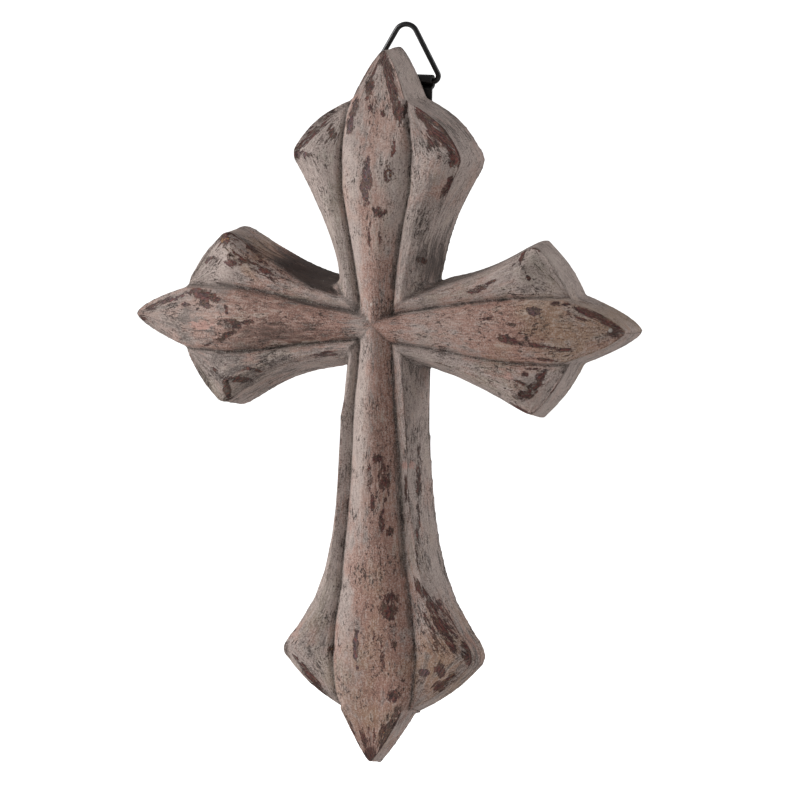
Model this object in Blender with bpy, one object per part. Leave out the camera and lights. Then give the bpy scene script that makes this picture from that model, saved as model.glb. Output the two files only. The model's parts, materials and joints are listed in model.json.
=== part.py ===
"""Carved wall cross with a triangular hanging ring on its back.

The cross is one carved solid. Each arm carries a raised petal along its middle and a
hipped lobe on either side of it, with a groove between them. The petal runs out past
the lobes to a pointed tip, and a sloping leaf-shaped facet is cut into its end.

Frame: +X to the viewer's right, +Z up, the front faces -Y, and the flat back lies in the
plane Y = 0 with the origin behind the middle of the crossing. Everything is in metres.
"""

import math
from dataclasses import dataclass

import bmesh
import bpy
from mathutils import Vector

MM = 0.001

# Overall size of the carved cross, from the middle of the crossing
TOP_REACH = 96.7 * MM
SIDE_REACH = 92.0 * MM
FOOT_REACH = 156.5 * MM
THICKNESS = 25.5 * MM
WALL_SLOPE_OUT = 2.0 * MM

# Half widths of the arms at their outer corners and at the crossing
TOP_SPREAD = 32.4 * MM
SIDE_SPREAD = 30.5 * MM
LEFT_FULLER = 0.8 * MM
FOOT_SPREAD = 37.4 * MM
TOP_WAIST = 15.7 * MM
SIDE_WAIST = 13.2 * MM
FOOT_WAIST = 12.5 * MM

# The petals at the crossing, and the small roundings in plan
UPRIGHT_NECK = 6.1 * MM
LEVEL_NECK = 5.5 * MM
CROTCH_ROUND = 3.2 * MM
GROOVE_DIP = 0.6 * MM
MOUTH_TUCK_OUT = 1.0 * MM
MOUTH_TUCK_IN = 2.4 * MM
PETAL_NEAR_NOTCH = 1.2 * MM
BACK_SPARE = 1.0 * MM
PETAL_SPARE = 1.5 * MM
UNDER_PETAL = 1.4 * MM
PETAL_STEP = 0.15 * MM

# Hanger on the back of the top arm
WIRE = 1.9 * MM
RING_WIDTH = 27.6 * MM
RING_RISE = 21.3 * MM
RING_APEX_ROUND = 3.4 * MM
RING_CORNER_ROUND = 2.0 * MM
STRAP_WIDTH = 22.0 * MM
STRAP_SHEET = 1.1 * MM
STRAP_DROP = 20.0 * MM
BORE_PLAY = 0.5 * MM
GAP = 0.3 * MM
HANGER_SIDE = 1.3 * MM
SEAT_DEPTH = 0.6 * MM
SEAT_MARGIN = 3.0 * MM
SCREW_HEAD_RADIUS = 3.4 * MM
SCREW_HEAD_RISE = 1.9 * MM
SCREW_SHANK_RADIUS = 1.5 * MM
SCREW_GRIP = 10.0 * MM

# How finely curves are divided
FLARE_STEPS = 9
CORNER_STEPS = 4
ARC_STEPS = 6
CROTCH_STEPS = 3
TIP_STEPS = 9
ROUND_STEPS = 32

# What follows from the sizes above
HANG_AXIS_Z = TOP_REACH * 0.889
LOOP_RADIUS = WIRE / 2 + BORE_PLAY + STRAP_SHEET
STRAP_FRONT_Y = GAP - SEAT_DEPTH
STRAP_BACK_Y = STRAP_FRONT_Y + 2 * STRAP_SHEET
HANG_AXIS_Y = STRAP_FRONT_Y + LOOP_RADIUS
STRAP_LOW_Z = HANG_AXIS_Z - STRAP_DROP
SEAT_LOW_Z = STRAP_LOW_Z - SEAT_MARGIN
SCREW_Z = HANG_AXIS_Z - STRAP_DROP * 0.64


@dataclass
class Arm:
    """One arm in its own plan: reach runs out from the crossing, side runs across it.

    Places along the arm are shares of its reach, and heights are shares of the
    thickness. Each profile is a short list of such pairs that a smooth curve joins.
    The sway tells how far the carved arm's middle wanders off square, as pairs of
    shares of the reach.
    """

    reach: float
    spread: float
    waist: float
    neck: float
    other_waists: tuple
    other_neck: float
    corner_at: float
    notch_at: float
    hip_at: float
    crease_at: float
    leaf_at: float
    flare_power: float
    flare_even: float
    arc_bulge: float
    ridge_share: float
    belly_at: float
    belly_share: float
    mouth_share: float
    leaf_share: float
    tip_power: float
    petal_ridge: tuple
    groove: tuple
    lobe_ridge: tuple
    edge: tuple
    tip_height: float
    flare_out: float
    arc_out: float
    sway: tuple
    direction: tuple


CROSSING_RIDGE = 0.92
CROSSING_GROOVE = 0.77
CROSSING_LOBE = 0.86
CROSSING_EDGE = 0.56

TOP_ARM = Arm(
    reach=TOP_REACH, spread=TOP_SPREAD, waist=TOP_WAIST, neck=UPRIGHT_NECK,
    other_waists=(SIDE_WAIST, SIDE_WAIST), other_neck=LEVEL_NECK,
    corner_at=0.615, notch_at=0.822, hip_at=0.635, crease_at=0.725, leaf_at=0.57,
    flare_power=1.6, flare_even=0.05, arc_bulge=0.10, ridge_share=0.50,
    belly_at=0.63, belly_share=0.435, mouth_share=0.31, leaf_share=0.285, tip_power=0.70,
    petal_ridge=((0.0, CROSSING_RIDGE), (0.3, 0.97), (0.57, 1.0)),
    groove=((0.0, CROSSING_GROOVE), (0.4, 0.80), (0.822, 0.82)),
    lobe_ridge=((0.0, CROSSING_LOBE), (0.3, 0.87), (0.635, 0.96)),
    edge=((0.0, CROSSING_EDGE), (0.36, 0.58), (0.615, 0.86), (0.822, 0.83)),
    tip_height=0.745, flare_out=1.1, arc_out=0.6,
    sway=((0.23, 0.0), (0.40, -0.0083), (0.62, -0.001), (1.0, 0.001)),
    direction=(0.0, 1.0))

RIGHT_ARM = Arm(
    reach=SIDE_REACH, spread=SIDE_SPREAD, waist=SIDE_WAIST, neck=LEVEL_NECK,
    other_waists=(TOP_WAIST, FOOT_WAIST), other_neck=UPRIGHT_NECK,
    corner_at=0.635, notch_at=0.788, hip_at=0.60, crease_at=0.68, leaf_at=0.587,
    flare_power=1.60, flare_even=0.08, arc_bulge=0.055, ridge_share=0.62,
    belly_at=0.65, belly_share=0.40, mouth_share=0.375, leaf_share=0.335, tip_power=0.66,
    petal_ridge=((0.0, CROSSING_RIDGE), (0.3, 0.94), (0.587, 0.93)),
    groove=((0.0, CROSSING_GROOVE), (0.4, 0.75), (0.788, 0.72)),
    lobe_ridge=((0.0, CROSSING_LOBE), (0.3, 0.83), (0.60, 0.88)),
    edge=((0.0, CROSSING_EDGE), (0.36, 0.60), (0.635, 0.66), (0.788, 0.71)),
    tip_height=0.77, flare_out=1.5, arc_out=0.25,
    sway=((0.24, 0.0), (0.42, 0.0076), (0.65, 0.0016), (1.0, -0.0065)),
    direction=(1.0, 0.0))

FOOT_ARM = Arm(
    reach=FOOT_REACH, spread=FOOT_SPREAD, waist=FOOT_WAIST, neck=UPRIGHT_NECK,
    other_waists=(SIDE_WAIST, SIDE_WAIST), other_neck=LEVEL_NECK,
    corner_at=0.751, notch_at=0.884, hip_at=0.715, crease_at=0.80, leaf_at=0.754,
    flare_power=5.2, flare_even=0.24, arc_bulge=0.06, ridge_share=0.58,
    belly_at=0.80, belly_share=0.42, mouth_share=0.315, leaf_share=0.30, tip_power=0.85,
    petal_ridge=((0.0, CROSSING_RIDGE), (0.4, 0.82), (0.754, 0.67)),
    groove=((0.0, CROSSING_GROOVE), (0.35, 0.61), (0.884, 0.42)),
    lobe_ridge=((0.0, CROSSING_LOBE), (0.35, 0.67), (0.715, 0.57)),
    edge=((0.0, CROSSING_EDGE), (0.25, 0.41), (0.751, 0.43), (0.884, 0.41)),
    tip_height=0.46, flare_out=1.0, arc_out=0.8,
    sway=((0.12, 0.0), (0.22, 0.0058), (0.50, 0.0), (0.75, -0.0051),
          (0.90, 0.0013), (1.0, 0.0070)),
    direction=(0.0, -1.0))


def left_arm():
    """Return the left arm, the right arm's twin on the other side."""
    values = dict(RIGHT_ARM.__dict__)
    values["direction"] = (-1.0, 0.0)
    values["other_waists"] = (FOOT_WAIST, TOP_WAIST)
    values["spread"] = SIDE_SPREAD + LEFT_FULLER
    values["flare_power"] = 1.8
    values["flare_even"] = 0.0
    values["sway"] = ((0.24, 0.0), (0.42, 0.0087), (0.66, 0.0), (1.0, 0.0))
    return Arm(**values)


def crossing_waist(arm, mirror):
    """Return the neighbouring arm's half width on one side of this arm."""
    return arm.other_waists[0] if mirror < 0 else arm.other_waists[1]


def smooth_curve(pairs, at):
    """Read a smooth curve through a few (place, value) pairs."""
    if at <= pairs[0][0]:
        return pairs[0][1]
    if at >= pairs[-1][0]:
        return pairs[-1][1]
    index = 0
    while at > pairs[index + 1][0]:
        index += 1
    (x0, y0), (x1, y1) = pairs[index], pairs[index + 1]
    before = pairs[index - 1] if index > 0 else pairs[index]
    after = pairs[index + 2] if index + 2 < len(pairs) else pairs[index + 1]
    slope0 = (y1 - before[1]) / (x1 - before[0])
    slope1 = (after[1] - y0) / (after[0] - x0)
    width = x1 - x0
    t = (at - x0) / width
    return ((2 * t ** 3 - 3 * t ** 2 + 1) * y0
            + (t ** 3 - 2 * t ** 2 + t) * width * slope0
            + (3 * t ** 2 - 2 * t ** 3) * y1
            + (t ** 3 - t ** 2) * width * slope1)


def height(arm, profile, along):
    """Return a height above the back for a distance along the arm."""
    return smooth_curve(profile, along / arm.reach) * THICKNESS


def half_groove(arm, along):
    """Return how far from the arm's middle the groove beside the petal runs."""
    belly = arm.spread * arm.belly_share
    mouth = arm.spread * arm.mouth_share
    midway = arm.neck + (belly - arm.neck) * 0.42
    pairs = ((0.0, arm.neck), (arm.belly_at * 0.42, midway), (arm.belly_at, belly),
             (arm.notch_at, mouth))
    return smooth_curve(pairs, along / arm.reach)


def flare_side(arm, along, mirror):
    """Return the half width of the arm's front between the crossing and its corner."""
    start = crossing_waist(arm, mirror)
    share = (along - start) / (arm.reach * arm.corner_at - start)
    share = min(max(share, 0.0), 1.0)
    rise = arm.flare_even * share + (1 - arm.flare_even) * share ** arm.flare_power
    return arm.waist + (arm.spread - arm.waist) * rise


def arc_point(arm, share):
    """Return a plan point on the convex end of a lobe, from its corner to the notch."""
    corner = Vector((arm.reach * arm.corner_at, arm.spread))
    notch = Vector((arm.reach * arm.notch_at, arm.spread * arm.mouth_share))
    chord = notch - corner
    outward = Vector((-chord.y, chord.x)).normalized()
    bulge = chord.length * arm.arc_bulge * math.sin(math.pi * share)
    return corner + chord * share + outward * bulge


def edge_rail(arm, mirror):
    """Return the plan points of one lobe's front edge, with each one's place.

    A place counts from 0 at the crotch to 1 at the corner and to 2 at the notch.
    """
    rail = []
    beside = crossing_waist(arm, mirror)
    centre = Vector((beside + CROTCH_ROUND, arm.waist + CROTCH_ROUND))
    for step in range(CROTCH_STEPS):
        turn = math.radians(225 + 45 * step / CROTCH_STEPS)
        spot = Vector((math.cos(turn), math.sin(turn))) * CROTCH_ROUND
        rail.append((centre + spot, 0.0))
    start = centre.x
    corner = arm.reach * arm.corner_at
    stop = start + (corner - start) * 0.93
    for step in range(FLARE_STEPS + 1):
        along = start + (stop - start) * step / FLARE_STEPS
        rail.append((Vector((along, flare_side(arm, along, mirror))), 0.0))
    before = rail[-1][0]
    after = arc_point(arm, 0.10)
    sharp = Vector((corner, arm.spread))
    for step in range(1, CORNER_STEPS + 1):
        t = step / CORNER_STEPS
        spot = before * (1 - t) ** 2 + sharp * 2 * t * (1 - t) + after * t ** 2
        rail.append((spot, 1.0))
    for step in range(1, ARC_STEPS + 1):
        rail.append((arc_point(arm, 0.10 + 0.90 * step / ARC_STEPS), 1.0))
    end = rail[-1][0]
    rail.append((end + Vector((MOUTH_TUCK_OUT, -MOUTH_TUCK_IN)), 2.0))
    first = rail[0][0].x
    middle = CROTCH_STEPS + FLARE_STEPS + CORNER_STEPS // 2
    last = len(rail) - 2
    placed = []
    for index, (spot, _) in enumerate(rail):
        if index <= middle:
            place = (spot.x - first) / (rail[middle][0].x - first)
        else:
            place = 1 + min((index - middle) / (last - middle), 1.0)
        placed.append((spot, place))
    return placed


def offset_rail(arm, placed):
    """Move plan points outwards, square to the line through their neighbours."""
    points = [item[0] for item in placed]
    moved = []
    for index, (spot, place) in enumerate(placed):
        beyond = min(max((place - 0.9) / 0.25, 0.0), 1.0)
        share = arm.flare_out + (arm.arc_out - arm.flare_out) * beyond
        share = 1.0 + (share - 1.0) * min(place / 0.15, 1.0)
        before = points[max(index - 1, 0)]
        after = points[min(index + 1, len(points) - 1)]
        line = (after - before).normalized()
        outward = Vector((-line.y, line.x))
        if index <= CROTCH_STEPS:
            turn = math.radians(225 + 45 * index / CROTCH_STEPS)
            outward = -Vector((math.cos(turn), math.sin(turn)))
        moved.append(spot + outward * WALL_SLOPE_OUT * share)
    return moved


def lobe_rails(arm, mirror):
    """Return the rails of one lobe as lists of (along, side, height)."""
    placed = edge_rail(arm, mirror)
    corner = arm.reach * arm.corner_at
    hip = arm.reach * arm.hip_at
    crease = arm.reach * arm.crease_at
    notch = arm.reach * arm.notch_at
    beside = crossing_waist(arm, mirror)
    start_ridge = arm.other_neck + (beside - arm.other_neck) * 0.5
    start_side = arm.neck + (arm.waist - arm.neck) * 0.5
    crease_place = 0.45
    rails = {"under": [], "groove": [], "inner": [], "ridge": [], "outer": [], "edge": [],
             "back": []}
    for spot, place in placed:
        if place <= 1:
            groove_x = arm.other_neck + (corner - arm.other_neck) * place
            ridge_x = start_ridge + (hip - start_ridge) * place
        elif place - 1 <= crease_place:
            share = (place - 1) / crease_place
            groove_x = corner + (crease - corner) * share
            ridge_x = hip + (crease - hip) * share
        else:
            share = (place - 1 - crease_place) / (1 - crease_place)
            groove_x = crease + (notch - crease) * share
            ridge_x = groove_x
        groove_y = half_groove(arm, groove_x)
        groove_h = height(arm, arm.groove, groove_x)
        hip_y = half_groove(arm, hip)
        hip_y += (flare_side(arm, hip, mirror) - hip_y) * arm.ridge_share
        if place <= 1:
            base = half_groove(arm, ridge_x)
            ridge_y = base + (flare_side(arm, ridge_x, mirror) - base) * arm.ridge_share
            blend = min(place / 0.2, 1.0)
            ridge_y = start_side + (ridge_y - start_side) * blend
            ridge_h = height(arm, arm.lobe_ridge, ridge_x)
        elif place - 1 <= crease_place:
            share = (place - 1) / crease_place
            crease_y = half_groove(arm, crease)
            ridge_y = hip_y + (crease_y - hip_y) * share
            top = height(arm, arm.lobe_ridge, hip)
            ridge_h = top + (height(arm, arm.groove, crease) - top) * share
        else:
            ridge_y = groove_y
            ridge_h = groove_h
        if place == 0:
            groove_y = arm.neck
            groove_h = CROSSING_GROOVE * THICKNESS
            ridge_y = start_side
            ridge_h = CROSSING_LOBE * THICKNESS
            edge_h = CROSSING_EDGE * THICKNESS
        else:
            edge_h = height(arm, arm.edge, spot.x)
        pull = UNDER_PETAL if place == 0 else 0.0
        rails["under"].append((groove_x - pull, groove_y - UNDER_PETAL,
                               groove_h - GROOVE_DIP))
        groove = Vector((groove_x, groove_y, groove_h))
        ridge = Vector((ridge_x, ridge_y, ridge_h))
        edge = Vector((spot.x, spot.y, edge_h))
        rails["groove"].append(tuple(groove))
        rails["inner"].append(tuple((groove + ridge) / 2))
        rails["ridge"].append(tuple(ridge))
        rails["outer"].append(tuple((ridge + edge) / 2))
        rails["edge"].append(tuple(edge))
    for spot in offset_rail(arm, placed):
        rails["back"].append((spot.x, spot.y, 0.0))
    return rails


def to_world(arm, along, side, up, mirror):
    """Turn a place on an arm into a point of the row's frame."""
    ahead = Vector((arm.direction[0], arm.direction[1]))
    across = Vector((ahead.y, -ahead.x))
    drift = smooth_curve(arm.sway, along / arm.reach) * arm.reach
    flat = ahead * along + across * (side * mirror + drift)
    return Vector((flat.x, -up, flat.y))


def finish_mesh(shape, name, collection, material=None):
    """Weld a bmesh, point its faces outwards and link it as a named object."""
    bmesh.ops.remove_doubles(shape, verts=shape.verts, dist=0.000002)
    bmesh.ops.dissolve_degenerate(shape, edges=shape.edges, dist=0.000001)
    bmesh.ops.triangulate(shape, faces=shape.faces, quad_method="FIXED")
    bmesh.ops.recalc_face_normals(shape, faces=shape.faces)
    mesh = bpy.data.meshes.new(name)
    shape.to_mesh(mesh)
    shape.free()
    thing = bpy.data.objects.new(name, mesh)
    if material is not None:
        mesh.materials.append(material)
    collection.objects.link(thing)
    return thing


def build_lobes(arms, collection, material):
    """Build the eight hipped lobes and the floor under the petals as one solid."""
    shape = bmesh.new()
    foot = -BACK_SPARE
    outline = []
    floor = []
    for arm in arms:
        sides = {}
        for mirror in (-1, 1):
            rails = lobe_rails(arm, mirror)
            lines = {}
            for name, rail in rails.items():
                lines[name] = [shape.verts.new(to_world(arm, *spot, mirror)) for spot in rail]
            lines["foot"] = []
            for along, side, _ in rails["back"]:
                lines["foot"].append(shape.verts.new(to_world(arm, along, side, foot, mirror)))
            order = ("under", "groove", "inner", "ridge", "outer", "edge", "back", "foot")
            for inner, outer in zip(order, order[1:]):
                first, second = lines[inner], lines[outer]
                for index in range(len(first) - 1):
                    shape.faces.new((first[index], first[index + 1],
                                     second[index + 1], second[index]))
            sides[mirror] = lines
        left, right = sides[-1], sides[1]
        for index in range(len(left["under"]) - 1):
            shape.faces.new((left["under"][index], left["under"][index + 1],
                             right["under"][index + 1], right["under"][index]))
        order = ("under", "groove", "outer", "edge", "back", "foot")
        for inner, outer in zip(order, order[1:]):
            shape.faces.new((left[inner][-1], right[inner][-1],
                             right[outer][-1], left[outer][-1]))
        outline += left["foot"] + list(reversed(right["foot"]))
        floor += [left["under"][0], right["under"][0]]
    shape.faces.new(outline)
    corners = [floor[0], floor[1], floor[3], floor[5]]
    shape.faces.new(corners)
    return finish_mesh(shape, "cross", collection, material)


def petal_sections(arm):
    """Return the petal's sections from the crossing to its tip.

    Each section is a list of (along, side, height) for one half, ridge first.
    """
    notch = arm.reach * arm.notch_at
    leaf = arm.reach * arm.leaf_at
    leaf_half = arm.spread * arm.leaf_share
    places = [notch * step / 18 for step in range(18)]
    places.append(notch - PETAL_NEAR_NOTCH)
    sections = []
    for along in places:
        half = half_groove(arm, along)
        low = height(arm, arm.groove, along) + PETAL_STEP
        top = height(arm, arm.petal_ridge, along)
        swell = min(along / leaf, 1.0)
        power = 1.35 + 1.65 * swell
        hidden = min(max((along / notch - 0.9) / 0.08, 0.0), 1.0)
        base = half * 0.7 + (leaf_half + WALL_SLOPE_OUT - half * 0.7) * hidden
        section = []
        for share in (0.0, 0.25, 0.5, 0.7, 0.86, 1.0):
            section.append((along, half * share, top - (top - low) * share ** power))
        section.append((along, base, 0.0))
        sections.append(section)
    top = height(arm, arm.petal_ridge, leaf)
    for step in range(TIP_STEPS + 1):
        run = 1 - (1 - step / TIP_STEPS) ** 1.6
        narrow = (1 - run) ** arm.tip_power
        along = notch + (arm.reach - notch) * run
        along_back = notch + (arm.reach + WALL_SLOPE_OUT - notch) * run
        half = leaf_half * narrow
        section = []
        for share in (0.0, 0.25, 0.5, 0.7, 0.86, 1.0):
            section.append((along, half * share, top))
        section.append((along_back, (leaf_half + WALL_SLOPE_OUT) * narrow, 0.0))
        sections.append(section)
    return sections


def build_petals(name, pair, collection):
    """Build two opposite petals as one solid that runs through the crossing."""
    shape = bmesh.new()
    foot = -PETAL_SPARE
    rows = []
    for arm, order in ((pair[0], -1), (pair[1], 1)):
        part = []
        for section in petal_sections(arm):
            full = []
            for mirror, spots in ((-order, reversed(section)), (order, section[1:])):
                spots = list(spots)
                if mirror == -order:
                    along, side, _ = spots[0]
                    full.append(to_world(arm, along, side, foot, mirror))
                full += [to_world(arm, *spot, mirror) for spot in spots]
                if mirror == order:
                    along, side, _ = spots[-1]
                    full.append(to_world(arm, along, side, foot, mirror))
            part.append([shape.verts.new(spot) for spot in full])
        rows.append(part)
    line = list(reversed(rows[0])) + rows[1][1:]
    for first, second in zip(line, line[1:]):
        count = len(first)
        for index in range(count):
            following = (index + 1) % count
            shape.faces.new((first[index], first[following],
                             second[following], second[index]))
    for vert in rows[1][0]:
        shape.verts.remove(vert)
    return finish_mesh(shape, name, collection)


def build_leaf_cutter(name, arm, collection):
    """Build the wedge that cuts the sloping leaf facet into a petal's end."""
    leaf = arm.reach * arm.leaf_at
    top = height(arm, arm.petal_ridge, leaf)
    fall = (top - arm.tip_height * THICKNESS) / (arm.reach - leaf)
    near = leaf - arm.reach * 0.08
    far = arm.reach * 1.1
    high = THICKNESS * 1.6
    profile = ((near, top + (leaf - near) * fall), (far, top - (far - leaf) * fall),
               (far, high), (near, high))
    shape = bmesh.new()
    ends = []
    for mirror in (-1, 1):
        ends.append([shape.verts.new(to_world(arm, along, arm.spread, up, mirror))
                     for along, up in profile])
    for index in range(4):
        following = (index + 1) % 4
        shape.faces.new((ends[0][index], ends[0][following],
                         ends[1][following], ends[1][index]))
    shape.faces.new(ends[0])
    shape.faces.new(ends[1])
    return finish_mesh(shape, name, collection)


def build_profile(name, outline, low_x, high_x, collection, material=None):
    """Build the solid that an outline of (y, z) points sweeps from one X to another."""
    shape = bmesh.new()
    ends = []
    for side in (low_x, high_x):
        ends.append([shape.verts.new((side, y, z)) for y, z in outline])
    count = len(outline)
    for index in range(count):
        following = (index + 1) % count
        shape.faces.new((ends[0][index], ends[0][following],
                         ends[1][following], ends[1][index]))
    shape.faces.new(ends[0])
    shape.faces.new(ends[1])
    return finish_mesh(shape, name, collection, material)


def build_bar(name, start, end, radius, collection):
    """Build a round bar between two points."""
    shape = bmesh.new()
    line = Vector(end) - Vector(start)
    bmesh.ops.create_cone(shape, cap_ends=True, cap_tris=False, segments=ROUND_STEPS,
                          radius1=radius, radius2=radius, depth=line.length)
    turn = line.to_track_quat("Z", "Y").to_matrix().to_4x4()
    bmesh.ops.transform(shape, matrix=turn, verts=shape.verts)
    middle = (Vector(start) + Vector(end)) / 2
    bmesh.ops.translate(shape, vec=middle, verts=shape.verts)
    return finish_mesh(shape, name, collection)


def add_boolean(target, other, operation):
    """Add an exact Boolean modifier to an object."""
    modifier = target.modifiers.new(f"{operation.lower()}_{other.name}", "BOOLEAN")
    modifier.operation = operation
    modifier.solver = "EXACT"
    modifier.object = other


def build_cross(collection, helpers, material):
    """Build the carved cross: lobes, crossing petals, leaf facets and the flat back."""
    arms = {"top": TOP_ARM, "right": RIGHT_ARM, "foot": FOOT_ARM, "left": left_arm()}
    cross = build_lobes(list(arms.values()), collection, material)
    upright = build_petals("petals_upright", (arms["foot"], arms["top"]), helpers)
    level = build_petals("petals_level", (arms["left"], arms["right"]), helpers)
    for name, petals in (("top", upright), ("foot", upright), ("left", level),
                         ("right", level)):
        add_boolean(petals, build_leaf_cutter(f"leaf_{name}", arms[name], helpers),
                    "DIFFERENCE")
    add_boolean(cross, upright, "UNION")
    add_boolean(cross, level, "UNION")
    wide = SIDE_REACH * 2
    tall = FOOT_REACH * 2
    planed = ((0.0, -tall), (0.0, SEAT_LOW_Z), (-SEAT_DEPTH, SEAT_LOW_Z),
              (-SEAT_DEPTH, tall), (THICKNESS, tall), (THICKNESS, -tall))
    back = build_profile("flat_back", planed, -wide, wide, helpers)
    pilot = build_bar("screw_hole", (HANGER_SIDE, THICKNESS * 0.2, SCREW_Z),
                      (HANGER_SIDE, -SCREW_GRIP - 2 * GAP, SCREW_Z),
                      SCREW_SHANK_RADIUS + GAP, helpers)
    for cutter in (back, pilot):
        add_boolean(cross, cutter, "DIFFERENCE")
    return cross


def strap_profile():
    """Return the folded strap's outline in the plane across its loop."""
    outline = [(STRAP_FRONT_Y, STRAP_LOW_Z), (STRAP_BACK_Y, STRAP_LOW_Z)]
    lean = math.radians(-45)
    outline.append((STRAP_BACK_Y, HANG_AXIS_Z - LOOP_RADIUS * 1.3))
    for step in range(13):
        turn = lean + (math.pi - lean) * step / 12
        outline.append((HANG_AXIS_Y + LOOP_RADIUS * math.cos(turn),
                        HANG_AXIS_Z + LOOP_RADIUS * math.sin(turn)))
    return outline


def build_strap(collection, helpers, material):
    """Build the folded strap that holds the ring, with its loop and screw hole."""
    half = STRAP_WIDTH / 2
    strap = build_profile("hanger_strap", strap_profile(), HANGER_SIDE - half,
                          HANGER_SIDE + half, collection, material)
    wide = STRAP_WIDTH
    loop = build_bar("loop_bore", (-wide, HANG_AXIS_Y, HANG_AXIS_Z),
                     (wide, HANG_AXIS_Y, HANG_AXIS_Z), WIRE / 2 + BORE_PLAY, helpers)
    hole = build_bar("strap_hole", (HANGER_SIDE, -THICKNESS, SCREW_Z),
                     (HANGER_SIDE, THICKNESS, SCREW_Z), SCREW_SHANK_RADIUS + GAP, helpers)
    add_boolean(strap, loop, "DIFFERENCE")
    add_boolean(strap, hole, "DIFFERENCE")
    return strap


def ring_path():
    """Return the ring's centre line across its plane, from the bar's axis upwards."""
    half = (RING_WIDTH - WIRE) / 2
    rise = RING_RISE - WIRE / 2
    corner = Vector((half - RING_CORNER_ROUND, RING_CORNER_ROUND))
    apex = Vector((0.0, rise - RING_APEX_ROUND))
    line = corner - apex
    spread = math.acos((RING_APEX_ROUND - RING_CORNER_ROUND) / line.length)
    lean = math.atan2(line.y, line.x) + spread
    path = []
    for step in range(9):
        turn = -math.pi / 2 + (lean + math.pi / 2) * step / 8
        path.append(corner + Vector((math.cos(turn), math.sin(turn))) * RING_CORNER_ROUND)
    for step in range(11):
        turn = lean + (math.pi - 2 * lean) * step / 10
        path.append(apex + Vector((math.cos(turn), math.sin(turn))) * RING_APEX_ROUND)
    for spot in reversed(path[:9]):
        path.append(Vector((-spot.x, spot.y)))
    return path


def build_ring(collection, material):
    """Build the wire ring around its own pivot, which lies on the bar's axis."""
    curve = bpy.data.curves.new("hanging_ring", "CURVE")
    curve.dimensions = "3D"
    path = ring_path()
    spline = curve.splines.new("POLY")
    spline.points.add(len(path) - 1)
    for point, spot in zip(spline.points, path):
        point.co = (spot.x, 0.0, spot.y, 1.0)
    spline.use_cyclic_u = True
    curve.bevel_depth = WIRE / 2
    curve.bevel_resolution = 3
    curve.use_fill_caps = True
    curve.materials.append(material)
    ring = bpy.data.objects.new("hanging_ring", curve)
    ring.location = (HANGER_SIDE, HANG_AXIS_Y, HANG_AXIS_Z)
    collection.objects.link(ring)
    return ring


def build_screw(collection, material):
    """Build the round-headed screw that holds the strap to the wood."""
    under = STRAP_BACK_Y + GAP
    profile = [(0.0, under + SCREW_HEAD_RISE)]
    for step in range(1, 6):
        turn = math.pi / 2 * (1 - step / 5)
        profile.append((SCREW_HEAD_RADIUS * math.cos(turn),
                        under + SCREW_HEAD_RISE * (0.25 + 0.75 * math.sin(turn))))
    profile.append((SCREW_HEAD_RADIUS, under))
    profile.append((SCREW_SHANK_RADIUS, under))
    profile.append((SCREW_SHANK_RADIUS, -SCREW_GRIP * 0.8))
    profile.append((0.0, -SCREW_GRIP))
    shape = bmesh.new()
    chain = [shape.verts.new((radius, y, 0.0)) for radius, y in profile]
    links = [shape.edges.new(pair) for pair in zip(chain, chain[1:])]
    bmesh.ops.spin(shape, geom=chain + links, cent=(0, 0, 0), axis=(0, 1, 0),
                   angle=2 * math.pi, steps=ROUND_STEPS, use_merge=True)
    bmesh.ops.translate(shape, vec=(HANGER_SIDE, 0.0, SCREW_Z), verts=shape.verts)
    return finish_mesh(shape, "hanger_screw", collection, material)


def make_material(name, colour, roughness, metallic):
    """Make a plain Principled material."""
    material = bpy.data.materials.new(name)
    material.use_nodes = True
    shader = material.node_tree.nodes["Principled BSDF"]
    shader.inputs["Base Color"].default_value = (*colour, 1.0)
    shader.inputs["Roughness"].default_value = roughness
    shader.inputs["Metallic"].default_value = metallic
    material.diffuse_color = (*colour, 1.0)
    return material


def main():
    """Build every piece of the wall cross."""
    for thing in list(bpy.data.objects):
        bpy.data.objects.remove(thing, do_unlink=True)
    collection = bpy.data.collections.new("wall_cross")
    helpers = bpy.data.collections.new("cutters")
    bpy.context.scene.collection.children.link(collection)
    bpy.context.scene.collection.children.link(helpers)
    wood = make_material("worn_painted_wood", (0.27, 0.21, 0.18), 0.75, 0.0)
    strap_black = make_material("black_strap", (0.012, 0.012, 0.013), 0.45, 0.0)
    ring_black = make_material("black_wire", (0.015, 0.015, 0.016), 0.40, 0.0)
    screw_black = make_material("black_screw", (0.018, 0.018, 0.018), 0.40, 0.0)
    build_cross(collection, helpers, wood)
    build_strap(collection, helpers, strap_black)
    build_ring(collection, ring_black)
    build_screw(collection, screw_black)
    for helper in helpers.objects:
        helper.hide_render = True
        helper.display_type = "WIRE"
    bpy.context.view_layer.update()


main()
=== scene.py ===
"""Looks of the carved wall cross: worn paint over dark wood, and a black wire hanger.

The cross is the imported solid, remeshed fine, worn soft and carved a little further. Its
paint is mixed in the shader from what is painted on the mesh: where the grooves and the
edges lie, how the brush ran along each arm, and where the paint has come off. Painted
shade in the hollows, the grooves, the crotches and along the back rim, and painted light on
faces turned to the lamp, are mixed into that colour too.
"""

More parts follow.
